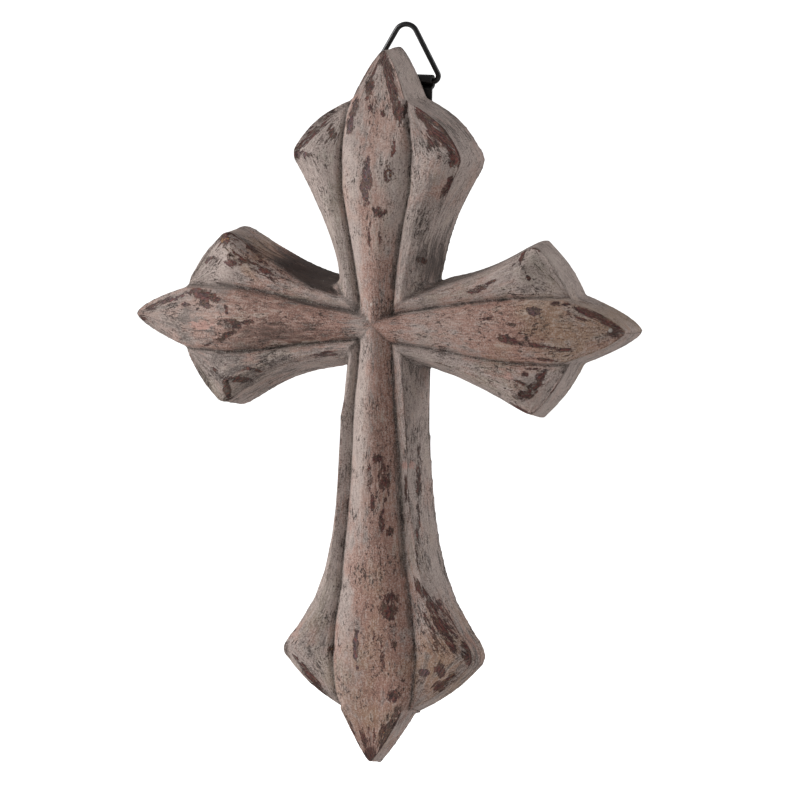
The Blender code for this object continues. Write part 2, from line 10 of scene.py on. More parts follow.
import json
import logging
import math
from dataclasses import dataclass
from enum import Enum
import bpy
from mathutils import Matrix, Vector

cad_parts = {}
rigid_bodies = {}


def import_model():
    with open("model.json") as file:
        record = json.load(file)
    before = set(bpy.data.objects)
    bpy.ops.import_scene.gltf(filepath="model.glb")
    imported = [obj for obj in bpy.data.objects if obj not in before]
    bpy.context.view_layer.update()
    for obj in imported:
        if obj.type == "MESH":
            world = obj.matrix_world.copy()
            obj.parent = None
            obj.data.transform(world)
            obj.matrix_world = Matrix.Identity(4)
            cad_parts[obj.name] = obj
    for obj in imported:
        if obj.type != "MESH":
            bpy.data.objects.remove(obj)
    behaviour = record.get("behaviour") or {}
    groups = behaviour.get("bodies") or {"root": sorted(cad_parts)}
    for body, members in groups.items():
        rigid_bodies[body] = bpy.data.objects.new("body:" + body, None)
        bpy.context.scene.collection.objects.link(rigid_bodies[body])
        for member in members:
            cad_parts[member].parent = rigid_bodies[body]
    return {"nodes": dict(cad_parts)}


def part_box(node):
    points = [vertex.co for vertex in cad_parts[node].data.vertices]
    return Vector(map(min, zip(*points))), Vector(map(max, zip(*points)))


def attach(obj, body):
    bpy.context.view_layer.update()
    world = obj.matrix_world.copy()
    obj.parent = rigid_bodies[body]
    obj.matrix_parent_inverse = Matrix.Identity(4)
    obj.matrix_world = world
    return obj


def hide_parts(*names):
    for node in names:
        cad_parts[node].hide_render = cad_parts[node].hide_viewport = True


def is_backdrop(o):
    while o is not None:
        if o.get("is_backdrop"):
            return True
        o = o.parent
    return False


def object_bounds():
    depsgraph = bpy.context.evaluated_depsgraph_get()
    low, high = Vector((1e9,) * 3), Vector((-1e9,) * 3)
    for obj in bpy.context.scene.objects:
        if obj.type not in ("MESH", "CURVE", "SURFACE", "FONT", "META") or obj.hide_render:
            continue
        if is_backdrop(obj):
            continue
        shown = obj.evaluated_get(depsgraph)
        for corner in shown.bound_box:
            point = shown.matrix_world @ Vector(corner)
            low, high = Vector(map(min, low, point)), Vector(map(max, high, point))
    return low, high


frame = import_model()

from types import SimpleNamespace

import bpy
import numpy as np
from mathutils import Matrix, Vector, noise

LOG = logging.getLogger("wall_cross")
MM = 0.001
SMOOTH_BELOW = math.radians(40)
EDGE_ABOVE = math.radians(50)


def srgb(red: float, green: float, blue: float) -> tuple[float, float, float, float]:
    """Turn a colour read from 0 to 255 into the linear colour a shader takes.

    Args:
        red: The red share as seen on a screen.
        green: The green share as seen on a screen.
        blue: The blue share as seen on a screen.

    Returns:
        The linear colour, opaque.
    """
    linear = []
    for share in (red, green, blue):
        value = share / 255
        linear.append(value / 12.92 if value <= 0.04045 else ((value + 0.055) / 1.055) ** 2.4)
    return (*linear, 1.0)


def only(piece: bpy.types.Object) -> bpy.types.Object:
    """Select one object alone and make it active."""
    for other in bpy.context.view_layer.objects:
        other.select_set(False)
    piece.select_set(True)
    bpy.context.view_layer.objects.active = piece
    return piece


def apply_modifier(piece: bpy.types.Object, kind: str, **settings: object) -> None:
    """Add a modifier to a piece, set it and apply it.

    Args:
        piece: The object that takes the modifier.
        kind: The modifier's type.
        settings: The modifier's own values by name.
    """
    only(piece)
    modifier = piece.modifiers.new(kind.lower(), kind)
    for name, value in settings.items():
        setattr(modifier, name, value)
    bpy.ops.object.modifier_apply(modifier=modifier.name)


class Value:
    """A shader output whose Python operators add Math nodes."""

    def __init__(self, sheet: "Sheet", output: bpy.types.NodeSocket) -> None:
        """Keep the output and the sheet that it is on."""
        self.sheet = sheet
        self.output = output

    def __add__(self, other: "Value | float") -> "Value":
        """Return self + other."""
        return self.sheet.math("ADD", self, other)

    __radd__ = __add__

    def __sub__(self, other: "Value | float") -> "Value":
        """Return self - other."""
        return self.sheet.math("SUBTRACT", self, other)

    def __rsub__(self, other: float) -> "Value":
        """Return other - self."""
        return self.sheet.math("SUBTRACT", other, self)

    def __mul__(self, other: "Value | float") -> "Value":
        """Return self * other."""
        return self.sheet.math("MULTIPLY", self, other)

    __rmul__ = __mul__


class Sheet:
    """One material, or the world, and the node sheet that it is mixed on."""

    def __init__(self, name: str, library: bpy.types.bpy_prop_collection | None = None) -> None:
        """Start an empty sheet, a material's unless another library is given."""
        library = bpy.data.materials if library is None else library
        self.holder = library.new(name)
        self.holder.use_nodes = True
        self.tree = self.holder.node_tree
        self.tree.nodes.clear()

    def node(self, kind: str, settings: dict | None = None,
             sockets: dict | None = None) -> bpy.types.Node:
        """Add a node, set it first and then fill its sockets.

        Args:
            kind: The node's type.
            settings: The node's own values by name.
            sockets: Values or links by socket name or number.

        Returns:
            The new node.
        """
        made = self.tree.nodes.new(kind)
        for name, value in (settings or {}).items():
            setattr(made, name, value)
        for name, value in (sockets or {}).items():
            if isinstance(value, Value):
                self.tree.links.new(value.output, made.inputs[name])
            else:
                made.inputs[name].default_value = value
        return made

    def value(self, kind: str, settings: dict | None = None, sockets: dict | None = None,
              output: str | int = 0) -> Value:
        """Add a node as node() does and return one of its outputs as a value."""
        return Value(self, self.node(kind, settings, sockets).outputs[output])

    def math(self, operation: str, *values: Value | float) -> Value:
        """Work out one Math operation on values or numbers."""
        return self.value("ShaderNodeMath", {"operation": operation}, dict(enumerate(values)))

    def attribute(self, name: str, output: str = "Fac") -> Value:
        """Read an attribute that is painted on the mesh."""
        return self.value("ShaderNodeAttribute", {"attribute_name": name}, output=output)

    def millimetres(self) -> Value:
        """Return each point's place on its own object, in millimetres."""
        where = self.value("ShaderNodeTexCoord", output="Object")
        return self.stretch(where, (1 / MM, 1 / MM, 1 / MM))

    def stretch(self, vector: Value, shares: tuple[float, float, float]) -> Value:
        """Scale a place along each axis, so that a pattern runs long one way."""
        return self.value("ShaderNodeVectorMath", {"operation": "MULTIPLY"},
                          {0: vector, 1: shares})

    def grains(self, place: Value, size: float, detail: float, roughness: float) -> Value:
        """Return a noise whose blotches are about size across, from 0 to 1."""
        return self.value("ShaderNodeTexNoise", {"noise_dimensions": "3D"},
                          {"Vector": place, "Scale": 1 / size, "Detail": detail,
                           "Roughness": roughness}, "Fac")

    def between(self, value: Value, low: float, high: float) -> Value:
        """Rise softly from 0 at low to 1 at high."""
        return self.value("ShaderNodeMapRange", {"interpolation_type": "SMOOTHSTEP"},
                          {"Value": value, "From Min": low, "From Max": high})

    def blend(self, share: Value, first: Value | tuple, second: Value | tuple) -> Value:
        """Lay the second colour over the first."""
        return self.value("ShaderNodeMix", {"data_type": "RGBA", "blend_type": "MIX"},
                          {0: share, 6: first, 7: second}, 2)

    def bump(self, relief: Value, depth: float) -> Value:
        """Turn a height from 0 to 1 into a normal, with the height's real depth."""
        return self.value("ShaderNodeBump", {},
                          {"Height": relief, "Distance": depth, "Strength": 1.0}, "Normal")

    def surface(self, sockets: dict) -> bpy.types.Material:
        """Finish the sheet with its Principled shader and return the material."""
        shader = self.value("ShaderNodeBsdfPrincipled", {}, sockets)
        self.node("ShaderNodeOutputMaterial", {}, {"Surface": shader})
        return self.holder


class Coat:
    """A colour that further colours are laid over."""

    def __init__(self, sheet: Sheet, colour: tuple) -> None:
        """Start with one colour."""
        self.sheet = sheet
        self.colour = colour

    def lay(self, share: Value, colour: Value | tuple) -> None:
        """Lay a colour over what is there, as strongly as its share says."""
        self.colour = self.sheet.blend(share, self.colour, colour)


class Arm(Enum):
    """The four arms."""

    TOP = "top"
    RIGHT = "right"
    FOOT = "foot"
    LEFT = "left"


class Bare(Enum):
    """What shows where the top paint has come off."""

    MAROON = "maroon"
    MAUVE = "mauve"
    OCHRE = "ochre"
    SOOT = "near_black"
    BLUSH = "blush"
    CHALK = "chalk"


class Tone(Enum):
    """How the colour leans over a wide stretch: paint tones, with painted light and shade."""

    # Lighter paint, together with painted light on faces turned to the lamp.
    PALE_AND_LIT = "pale"
    ROSE = "rose"
    MOSS = "moss"
    # Darker stain, together with painted shade in the crotches, on shaded walls and faces, and
    # along the back rim.
    DARK = "dark"
    TAN = "tan"


@dataclass(frozen=True)
class Spot:
    """A soft oval on an arm, in millimetres: along the arm from the crossing, and across
    it to the viewer's right or up. The turn is in degrees from along towards across."""

    along: float
    across: float
    long: float
    wide: float
    strength: float = 0.9
    turn: float = 0.0

    def reach(self, along: np.ndarray, across: np.ndarray) -> np.ndarray:
        """Return how strongly it reaches each place on the arm, strongest in its middle."""
        turn = math.radians(self.turn)
        ahead = along - self.along
        aside = across - self.across
        first = (ahead * math.cos(turn) + aside * math.sin(turn)) / self.long
        second = (aside * math.cos(turn) - ahead * math.sin(turn)) / self.wide
        return self.strength * np.exp(-0.5 * (first ** 2 + second ** 2))


# Each row holds a spot's values in the order of its fields.
WORN_SPOTS = {
    (Arm.TOP, Bare.MAROON): (
        (85, 4.2, 10, 1.4, 1, -20), (92.5, 1.2, 4, 1.4, 1, -20), (75.5, 15.5, 3, 1.5, 0.9, -20),
        (76, 7.5, 4, 1.8, 1, -15), (88, -3.5, 8, 0.9, 0.7, 22), (84, -4, 4.5, 1.6),
        (77, -3, 4, 1, 0.7), (75, 2, 1.2, 0.9), (40, 2, 2.6, 2.6, 0.75), (31, -1, 7, 0.7, 0.65),
        (32, 3, 5, 0.8, 0.65), (62, 7, 3.5, 0.9), (67, -24.5, 11, 1.2, 0.9, 43),
        (68, 24.5, 11, 2.2, 1, -44), (70, 20.5, 4.5, 2.4, 0.9, -20), (64, 20, 2.6, 1.8, 0.8, 20),
        (60, 29.5, 3.2, 2.6, 0.9, -45), (50, 26, 4, 0.8, 0.9, 28), (46, -1, 18, 2.6, 0.34),
        (82, -2, 12, 5, 0.44), (66, -20, 9, 6, 0.42, 40), (66, 22, 11, 6, 0.46, -42),
    ),
    (Arm.TOP, Bare.MAUVE): (
        (76, -9, 3.5, 1.4, 0.8, 15), (70, -10, 3, 1.2, 0.8, 10), (50.5, -2.5, 7.5, 1.9, 1),
        (59, -28, 1.6, 3.4),
    ),
    (Arm.TOP, Bare.OCHRE): ((55, 5, 4, 3.5, 0.65),),
    (Arm.TOP, Bare.SOOT): (
        (67, -17, 2.4, 1.6, 0.8, -20), (23, 16, 1.2, 1.2), (76, 10, 4, 0.5, 1),
    ),
    (Arm.TOP, Bare.CHALK): (
        (7.1, -0.1, 0.6, 0.4, 1), (1.9, -1.8, 0.5, 0.5, 1),
    ),
    (Arm.LEFT, Bare.OCHRE): (
        (57.5, 27, 4.5, 3, 0.66), (54, 23.5, 4.5, 3, 0.6),
    ),
    (Arm.LEFT, Bare.MAUVE): (
        (63, 20, 3.2, 1.6), (79, 5.5, 8, 1, 0.8, -18), (86, 2.5, 3, 1.4, 0.8, -20),
        (72, 4, 2, 1.2, 0.7), (64, 4, 2.6, 1, 0.7, 15), (67, 2.3, 4, 1.6, 0.5, 10),
    ),
    (Arm.LEFT, Bare.MAROON): (
        (53, 20, 4.5, 1.8, 0.7), (43, 17.5, 8, 1.4, 0.8, 22), (49, 25, 3.5, 0.8, 0.8, 25),
        (66, 8, 5, 1.6, 1, 10), (60.5, 6.5, 3, 0.9, 0.9, 20), (47.5, -1, 2.8, 1, 0.8),
        (90, -2, 2, 1.5, 0.7), (61, -19, 1.6, 1.2, 0.7), (18, -11.5, 5, 1.3, 0.6, -8),
        (55.3, 3.2, 0.7, 2.2, 0.85, -20), (56.3, -6.6, 2.6, 0.8, 0.8, -50),
        (62.1, -9.5, 3.5, 0.6, 0.7, -25), (44, 17, 9, 1.1, 0.75, 26), (50, 22, 14, 6, 0.5, 15),
        (66, 6, 10, 4, 0.45), (52, -2, 8, 3, 0.42), (54, -21, 9, 5, 0.4),
    ),
    (Arm.LEFT, Bare.BLUSH): ((65, -3, 5, 1.3, 1),),
    (Arm.LEFT, Bare.SOOT): (
        (52.5, -2, 3, 1.7, 1), (39, -1, 2, 0.8, 0.7), (55, -6, 4, 0.9, 0.9, -25),
        (56, -25, 1.3, 4, 1), (51, -22, 4, 0.9, 1), (46, -18, 3.4, 0.8, 0.9, 8),
    ),
    (Arm.RIGHT, Bare.MAROON): (
        (54, 26, 0.8, 4), (50, 22.3, 3.5, 0.7, 0.7, 25), (39, 14, 3.4, 1.1, 0.9, 22),
        (43.5, 16.5, 2.5, 0.8, 0.7, 22), (52, -3.5, 5, 1.2, 0.9, -12), (64, -5, 7, 0.8, 0.9, -5),
        (72, -6, 3, 0.7), (65, -10, 4.6, 0.6, 0.9, -6), (43, 4, 3.5, 1, 0.55),
        (80, 7, 7, 1, 1, -16), (87, 3.5, 4, 1, 1, -30), (60.5, -19, 6, 1.5, 0.9, 55),
        (56, -23, 3, 1.6, 0.7), (54, -28, 5, 0.9, 0.7, -32), (60, -3, 16, 4, 0.42),
        (78, 6, 9, 3, 0.5, -20), (56, -19, 9, 5, 0.46, 30),
    ),
    (Arm.RIGHT, Bare.SOOT): (
        (58.5, 17, 5, 0.5, 0.75, -60), (52, 2, 3, 1, 0.8), (70, 10, 3.5, 0.8), (88.5, 0, 2, 1.2, 1),
    ),
    (Arm.RIGHT, Bare.MAUVE): ((61, 7, 2.6, 1.9),),
    (Arm.RIGHT, Bare.BLUSH): ((51, -16, 2, 1.2, 0.8),),
    (Arm.RIGHT, Bare.CHALK): ((87.5, 1.2, 0.7, 0.7, 1),),
    (Arm.FOOT, Bare.MAROON): (
        (48, 3, 1.6, 1.6), (55, 0, 4.5, 1, 0.8), (55, 5, 5, 2.2, 0.8), (64, 1, 5, 0.8, 0.8),
        (70, 4.5, 6, 1, 0.8), (100, 7.5, 5.5, 2.6), (118, 5, 5, 0.9, 0.8),
        (94, 18, 4, 1.4, 0.9, 35), (100, 22.5, 5, 2.4, 0.74, 35), (107, 26, 8, 4, 0.66, 30),
        (112, 29, 6, 3.2, 0.68, 25), (117, 35, 4.5, 1.6, 1, 30), (122, 25, 3, 2),
        (128, 25, 3, 1.6, 0.9, -50), (127, -25, 9, 1.3, 0.8, 41), (149, -3.2, 5, 1, 0.8, 15),
        (154, -0.5, 2.2, 2.2, 1), (132.5, 8.5, 2.2, 3, 0.8), (146, -7, 7, 0.7, 0.6, 20),
        (62, 3, 18, 4, 0.46), (110, 0, 22, 6, 0.38), (110, 25, 14, 7, 0.5, 30), (149, 0, 7, 4, 0.5),
    ),
    (Arm.FOOT, Bare.SOOT): (
        (74, 7, 2.2, 1.4, 0.7), (58, 12, 5, 0.8, 0.8), (58, 14.8, 26, 0.5, 0.75, 4),
        (114, 9, 3.6, 1.3, 0.7), (117, -16, 2.5, 1.6, 0.7), (146, 6, 8, 1.6, 1, -25),
        (141, 8, 1.8, 2, 1),
    ),
    (Arm.FOOT, Bare.BLUSH): ((50, 12, 1.4, 1.8, 1),),
    (Arm.FOOT, Bare.MAUVE): (
        (115, -5, 10, 1, 0.8), (124, 19, 1.6, 1.6),
    ),
    (Arm.FOOT, Bare.OCHRE): (
        (126, 27, 5, 1.6, 0.6, -50), (147, 3.5, 4, 1.2, 0.7, -25),
    ),
}

# Tones by arm. The pale rows lay lighter paint with painted light on faces turned to the lamp; the
# dark rows lay darker stain with painted shade in the crotches and on faces turned from it.
TONES_AND_PAINTED_LIGHT = {
    (Arm.TOP, Tone.PALE_AND_LIT): (
        (45, -7, 26, 4), (80, 0, 14, 8, 0.6), (50, 4, 26, 7), (55, 9, 22, 3, 1),
        (42, -24, 16, 7, 0.9, -15), (60, -20, 9, 6, 0.5),
    ),
    (Arm.TOP, Tone.ROSE): (
        (45, 1, 26, 5), (55, 22, 8, 5, 0.5),
    ),
    (Arm.TOP, Tone.MOSS): (
        (40, -15, 20, 3, 0.6), (48, 15, 14, 4, 0.5),
    ),
    (Arm.TOP, Tone.DARK): (
        (40, 18, 16, 5, 0.55, 15), (26, 15, 9, 5, 0.6), (22, 19, 9, 4, 1.5),
        (70, 26, 8, 3, 0.8, -45), (50, 15, 18, 4, 0.4),
    ),
    (Arm.LEFT, Tone.ROSE): (
        (40, 0, 18, 9, 1), (42, 18, 14, 7, 0.6, 20),
    ),
    (Arm.LEFT, Tone.DARK): (
        (38, -5, 22, 6, 1.25), (38, 5, 22, 6, 0.85), (76, -2, 14, 9, 0.95),
        (50, -20, 20, 10, 1, -15),
    ),
    (Arm.LEFT, Tone.PALE_AND_LIT): (
        (74, 0, 15, 11, 0.55), (62, 17, 6, 8),
    ),
    (Arm.LEFT, Tone.TAN): ((50, 22, 8, 6, 0.8, 20),),
    (Arm.LEFT, Tone.MOSS): ((50, -18, 18, 9, 0.7, -15),),
    (Arm.RIGHT, Tone.PALE_AND_LIT): (
        (64, 22, 8, 8, 1), (30, 0, 12, 7, 0.5),
    ),
    (Arm.RIGHT, Tone.DARK): (
        (18, 16, 5, 3), (55, 18, 10, 8, 0.4),
    ),
    (Arm.RIGHT, Tone.ROSE): ((48, 0, 14, 8, 0.8),),
    (Arm.RIGHT, Tone.TAN): (
        (72, 2, 16, 8, 1.2), (55, -6, 20, 4, 0.6),
    ),
    (Arm.RIGHT, Tone.MOSS): (
        (40, 16, 16, 6, 0.5, 18), (42, -17, 16, 6, 0.5, -18),
    ),
    (Arm.FOOT, Tone.DARK): (
        (16, 15, 4, 4, 1), (35, 5, 26, 4, 0.5), (112, 26, 12, 8, 0.35), (118, -24, 10, 8, 0.4),
    ),
    (Arm.FOOT, Tone.PALE_AND_LIT): (
        (40, -4, 30, 4, 1.1), (100, -10, 22, 4, 0.6), (50, 11, 24, 3, 0.4),
    ),
    (Arm.FOOT, Tone.ROSE): (
        (60, 4, 50, 5), (95, 0, 26, 8, 0.7), (112, 26, 10, 7),
    ),
    (Arm.FOOT, Tone.MOSS): ((112, -22, 16, 8, 0.7),),
    (Arm.FOOT, Tone.TAN): (
        (120, 24, 12, 9, 1.1), (112, 3, 22, 8, 0.6), (140, 0, 10, 8, 0.7),
    ),
}

# Painted shade on the side walls: in the crotches of the top and left arms, and on the foot's
# walls.
WALL_PAINTED_SHADE = {
    (Arm.TOP, Tone.DARK): ((22, 16, 12, 8, 1),),
    (Arm.LEFT, Tone.DARK): ((24, 18, 16, 14, 2.4),),
    (Arm.FOOT, Tone.DARK): (
        (118, 36, 14, 6, 0.85), (80, 18, 24, 8, 0.5),
    ),
}


# What the mesh carries for the paint, its dirt and its painted shade, besides a map for each kind
# of bare spot and tone.
PAINTED = ("wall", "hollow", "valley", "crest", "petal", "line", "edge", "bare")


@dataclass(frozen=True)
class Grain:
    """A noise in the paint: its size in millimetres, its detail and its roughness. Where
    along is set, it follows the brush strokes and is drawn out by that share."""

    size: float
    detail: float
    rough: float
    along: float | None = None

    def draw(self, sheet: Sheet, place: Value, brush: Value) -> Value:
        """Return the noise over the mesh."""
        if self.along is not None:
            place = sheet.stretch(brush, (self.along, 1.0, 1.0))
        return sheet.grains(place, self.size, self.detail, self.rough)


GRAINS = {
    "hair": Grain(0.50, 3, 0.70, 0.18), "streak": Grain(1.1, 4, 0.65, 0.14),
    "mottle": Grain(3.0, 5, 0.62, 0.50), "cloud": Grain(9.0, 4, 0.55, 0.60),
    "blotch": Grain(21.0, 3, 0.55), "grit": Grain(0.52, 3, 0.70),
    "thick": Grain(8.0, 3, 0.60), "ticks": Grain(0.55, 4, 0.62, 0.30),
    "specks": Grain(0.8, 1, 0.50), "flakes": Grain(1.5, 8, 0.80, 0.42),
    "patches": Grain(13.0, 2, 0.50), "flecks": Grain(1.0, 6, 0.78, 0.36),
    "lumps": Grain(0.8, 4, 0.65, 0.50),
}


class PaintSheet(Sheet):
    """The worn paint's sheet: the maps that the mesh carries, the noises and the coat."""

    def __init__(self, name: str, colour: tuple) -> None:
        """Read the maps, draw the noises and start the coat with one colour."""
        super().__init__(name)
        place = self.attribute("place", "Vector")
        brush = self.attribute("brush", "Vector")
        kinds = (kind.value for kind in (*Tone, *Bare) if kind is not Bare.MAROON)
        self.at = SimpleNamespace(**{name: self.attribute(name) for name in (*PAINTED, *kinds)})
        self.grain = SimpleNamespace(**{name: kind.draw(self, place, brush)
                                        for name, kind in GRAINS.items()})
        self.fine = (self.grain.hair - 0.5) * 0.70 + (self.grain.grit - 0.5) * 1.25
        self.coat = Coat(self, colour)


@dataclass(frozen=True)
class WornPaint:
    """The colours of the cross, from the top coat down to the dark wood, with painted light and
    shade among them.
    """

    stone: tuple = srgb(180, 162, 155)
    rose: tuple = srgb(168, 124, 109)
    moss: tuple = srgb(142, 128, 114)
    # Grime, also laid as painted shade in the hollows, grooves and crotches.
    grime_and_shade: tuple = srgb(64, 57, 53)
    # Deep brown for the cracks and for the painted shadow around the chips.
    deep_brown: tuple = srgb(52, 42, 38)
    maroon: tuple = srgb(82, 43, 45)
    # Near-black for the bare spots and for the deepest painted shade.
    near_black: tuple = srgb(46, 35, 33)
    mauve: tuple = srgb(112, 94, 100)
    ochre: tuple = srgb(186, 134, 88)
    blush: tuple = srgb(206, 160, 148)
    lime: tuple = srgb(214, 204, 196)
    # Laid as lighter paint and painted light where the pale map lies.
    bright: tuple = srgb(198, 180, 170)
    tan: tuple = srgb(158, 128, 100)
    brick: tuple = srgb(128, 72, 62)
    relief_depth: float = 0.9 * MM

    def dress(self) -> bpy.types.Material:
        """Mix the worn paint and return its material."""
        sheet = PaintSheet("worn_painted_wood", self.stone)
        grain = sheet.grain
        dirt_and_shade = self.tint(sheet)
        tick = self.weather(sheet)
        gone = self.chip(sheet)
        relief = (grain.hair * 0.20 + grain.streak * 0.30 + grain.grit * 0.16
                  + (1.0 - tick) * 0.14 + (1.0 - gone) * 0.24 + grain.mottle * 0.34)
        rough = 0.64 + (grain.grit - 0.5) * 0.2 - gone * 0.16 + dirt_and_shade * 0.10
        return sheet.surface({
            "Specular IOR Level": 0.35, "IOR": 1.46, "Base Color": sheet.coat.colour,
            "Roughness": rough, "Normal": sheet.bump(relief, self.relief_depth)})

    def tint(self, sheet: PaintSheet) -> Value:
        """Lay the top paint's own tones, its dirt and the painted shade in hollows, grooves and
        crotches, and return how strongly dirt and painted shade lie at each place.
        """
        at, grain, between, lay = sheet.at, sheet.grain, sheet.between, sheet.coat.lay
        leaning = (at.rose - at.pale) * 0.50 + at.petal * 0.34
        rosy = between(leaning + (grain.blotch - 0.5) * 1.2 + (grain.mottle - 0.5) * 1.6
                       + (grain.streak - 0.5) * 0.8 + at.crest * 0.15, -0.02, 0.52)
        lay(rosy * 0.9, self.rose)
        mossy = between(at.moss * 0.5 + at.valley * 0.35 + (grain.cloud - 0.5) * 2.0
                        + (grain.streak - 0.5) * 1.6 - at.petal * 0.15, 0.05, 0.62)
        lay(mossy * (0.75 - at.wall * 0.35), self.moss)
        tanned = between(at.tan * 0.7 + (grain.cloud - 0.5) * 1.4
                         + (grain.mottle - 0.5) * 0.9, 0.12, 0.75)
        lay(tanned * 0.62, self.tan)
        tones = ((grain.cloud - 0.5) * 0.5 + (grain.mottle - 0.5) * 0.9
                 + (grain.streak - 0.5) * 0.9)
        # Lighter tones at random, a little more where the pale map lays lighter paint and painted
        # light.
        lay(between(tones + at.pale * 0.08, 0.03, 0.26) * 0.28, self.lime)
        # Dirt and painted shade: the dark map's stain and painted shade, and the hollows' dirt and
        # painted shade.
        dirt_and_shade = between(at.dark * 0.55 + at.hollow * 0.5 - tones * 2.0
                        - at.wall * (grain.streak - 0.5) * 1.6, 0.08, 0.95)
        lay(dirt_and_shade * 0.74, self.grime_and_shade)
        # A painted shade line along the bottoms of the grooves.
        lay(between(at.line + tones * 0.8, 0.30, 0.95) * 0.56, self.grime_and_shade)
        return dirt_and_shade

    def weather(self, sheet: PaintSheet) -> Value:
        """Lay the brushed paint's fine grain, the pale map's lightening, the near-black painted
        shade, cracks and specks, and return the cracks.
        """
        at, grain, between, lay = sheet.at, sheet.grain, sheet.between, sheet.coat.lay
        busy = between(grain.thick, 0.36, 0.62) * 0.6 + 0.4
        # Fewer light streaks where the dark map's painted shade is deep.
        calm = 1.0 - between(at.dark, 0.6, 1.4) * 0.8
        lay(between(sheet.fine, -0.01, -0.17) * busy * 0.76, self.grime_and_shade)
        lay(between(sheet.fine, 0.01, 0.18) * calm * 0.40, self.lime)
        # Lighter paint and painted light where the pale map lies.
        lay(at.pale * 0.20, self.bright)
        # Near-black painted shade where the dark map runs past 1: the crotch walls, the back rim
        # and the left arm's shaded face.
        lay(between(at.dark, 1.0, 1.9) * 0.62, self.near_black)
        tick = between(grain.ticks + (grain.thick - 0.5) * 0.55 + at.hollow * 0.04, 0.62, 0.68)
        lay(tick * 0.80, self.deep_brown)
        lay(between(grain.specks + at.crest * 0.05, 0.78, 0.82) * 0.7, self.lime)
        return tick

    def chip(self, sheet: PaintSheet) -> Value:
        """Take the paint off the worn spots and the edges, lay a painted shadow around the chips,
        and return where it is gone.
        """
        at, grain, between, lay = sheet.at, sheet.grain, sheet.between, sheet.coat.lay
        core = between(at.bare, 0.05, 0.80)
        fringe = between(at.edge, 0.25, 0.75) * between(grain.patches, 0.36, 0.60)
        chance = (core * 0.96 + (grain.flakes - 0.5) * 3.6 + (grain.mottle - 0.5) * 1.5
                  + fringe * 0.50 + between(at.crest, 0.3, 1.0) * 0.22)
        gone = between(chance, 0.72, 0.79) * between(grain.flecks, 0.585, 0.555)
        # A painted shadow of the paint's edge around each chip.
        lay(between(chance, 0.60, 0.72) * 0.58, self.deep_brown)
        under = Coat(sheet, self.maroon)
        under.lay(at.near_black, self.near_black)
        under.lay(at.mauve, self.mauve)
        under.lay(between(grain.lumps, 0.50, 0.57) * 0.85, self.near_black)
        under.lay(between(grain.lumps, 0.48, 0.39) * 0.72, self.brick)
        under.lay(between(at.ochre * 0.16 + grain.lumps, 0.66, 0.72) * 0.8, self.ochre)
        under.lay(between(sheet.fine, 0.02, 0.18) * 0.24, self.rose)
        under.lay(between(grain.flecks, 0.50, 0.55) * 0.38, self.tan)
        lay(gone * 0.94, under.colour)
        lay(between(at.blush + (grain.flakes - 0.5) * 3.0, 0.50, 0.66) * 0.6, self.blush)
        lay(between(at.chalk, 0.4, 0.7) * 0.8, self.lime)
        return gone


@dataclass(frozen=True)
class BackWash:
    """The plain back: a thin dark wash over sawn wood."""

    wash: tuple = srgb(104, 88, 78)
    wood: tuple = srgb(132, 108, 88)
    deep_brown: tuple = srgb(62, 50, 43)
    relief_depth: float = 0.25 * MM

    def dress(self) -> bpy.types.Material:
        """Mix the washed wood and return its material."""
        sheet = Sheet("washed_back")
        place = sheet.millimetres()
        figure = sheet.grains(sheet.stretch(place, (1.0, 1.0, 0.07)), 5.0, 4.0, 0.6)
        fibre = sheet.grains(sheet.stretch(place, (1.0, 1.0, 0.05)), 0.5, 3.0, 0.6)
        stain = sheet.grains(place, 22.0, 4.0, 0.6)
        saw = sheet.grains(sheet.stretch(place, (0.03, 1.0, 1.0)), 0.8, 2.0, 0.5)
        colour = sheet.blend(sheet.between(figure + (stain - 0.5) * 0.8, 0.35, 0.7),
                             self.wash, self.wood)
        colour = sheet.blend(sheet.between(fibre, 0.55, 0.75) * 0.6, colour, self.deep_brown)
        relief = fibre * 0.4 + saw * 0.35 + figure * 0.25
        return sheet.surface({
            "Specular IOR Level": 0.3, "Base Color": colour,
            "Roughness": 0.74 + (stain - 0.5) * 0.2,
            "Normal": sheet.bump(relief, self.relief_depth)})


@dataclass(frozen=True)
class BlackEnamel:
    """Satin black paint on the wire, strap and screw, rubbed where metal meets metal."""

    name: str
    paint: tuple = srgb(23, 22, 23)
    rubbed: tuple = srgb(58, 56, 56)
    gloss: float = 0.36
    relief_depth: float = 0.04 * MM

    def dress(self) -> bpy.types.Material:
        """Mix the black paint and return its material."""
        sheet = Sheet(self.name)
        place = sheet.millimetres()
        orange_peel = sheet.grains(place, 0.5, 2.0, 0.5)
        rubs = sheet.grains(place, 2.4, 4.0, 0.7)
        rub = sheet.between(rubs, 0.66, 0.76)
        colour = sheet.blend(rub * 0.6, self.paint, self.rubbed)
        rough = self.gloss + (orange_peel - 0.5) * 0.14 + rub * 0.16
        relief = orange_peel * 0.6 + rub * 0.4
        return sheet.surface({
            "Specular IOR Level": 0.5, "Base Color": colour, "Roughness": rough,
            "Metallic": rub * 0.5, "Normal": sheet.bump(relief, self.relief_depth)})


@dataclass(frozen=True)
class GroovePlace:
    """Where the two grooves beside a petal run at one distance along the arm.

    Low is the groove on the viewer's left or below, high the one on the right or above.
    The shifts say how far the carving moves the solid's grooves to get there.
    """

    along: float
    low: float
    high: float
    low_shift: float
    high_shift: float


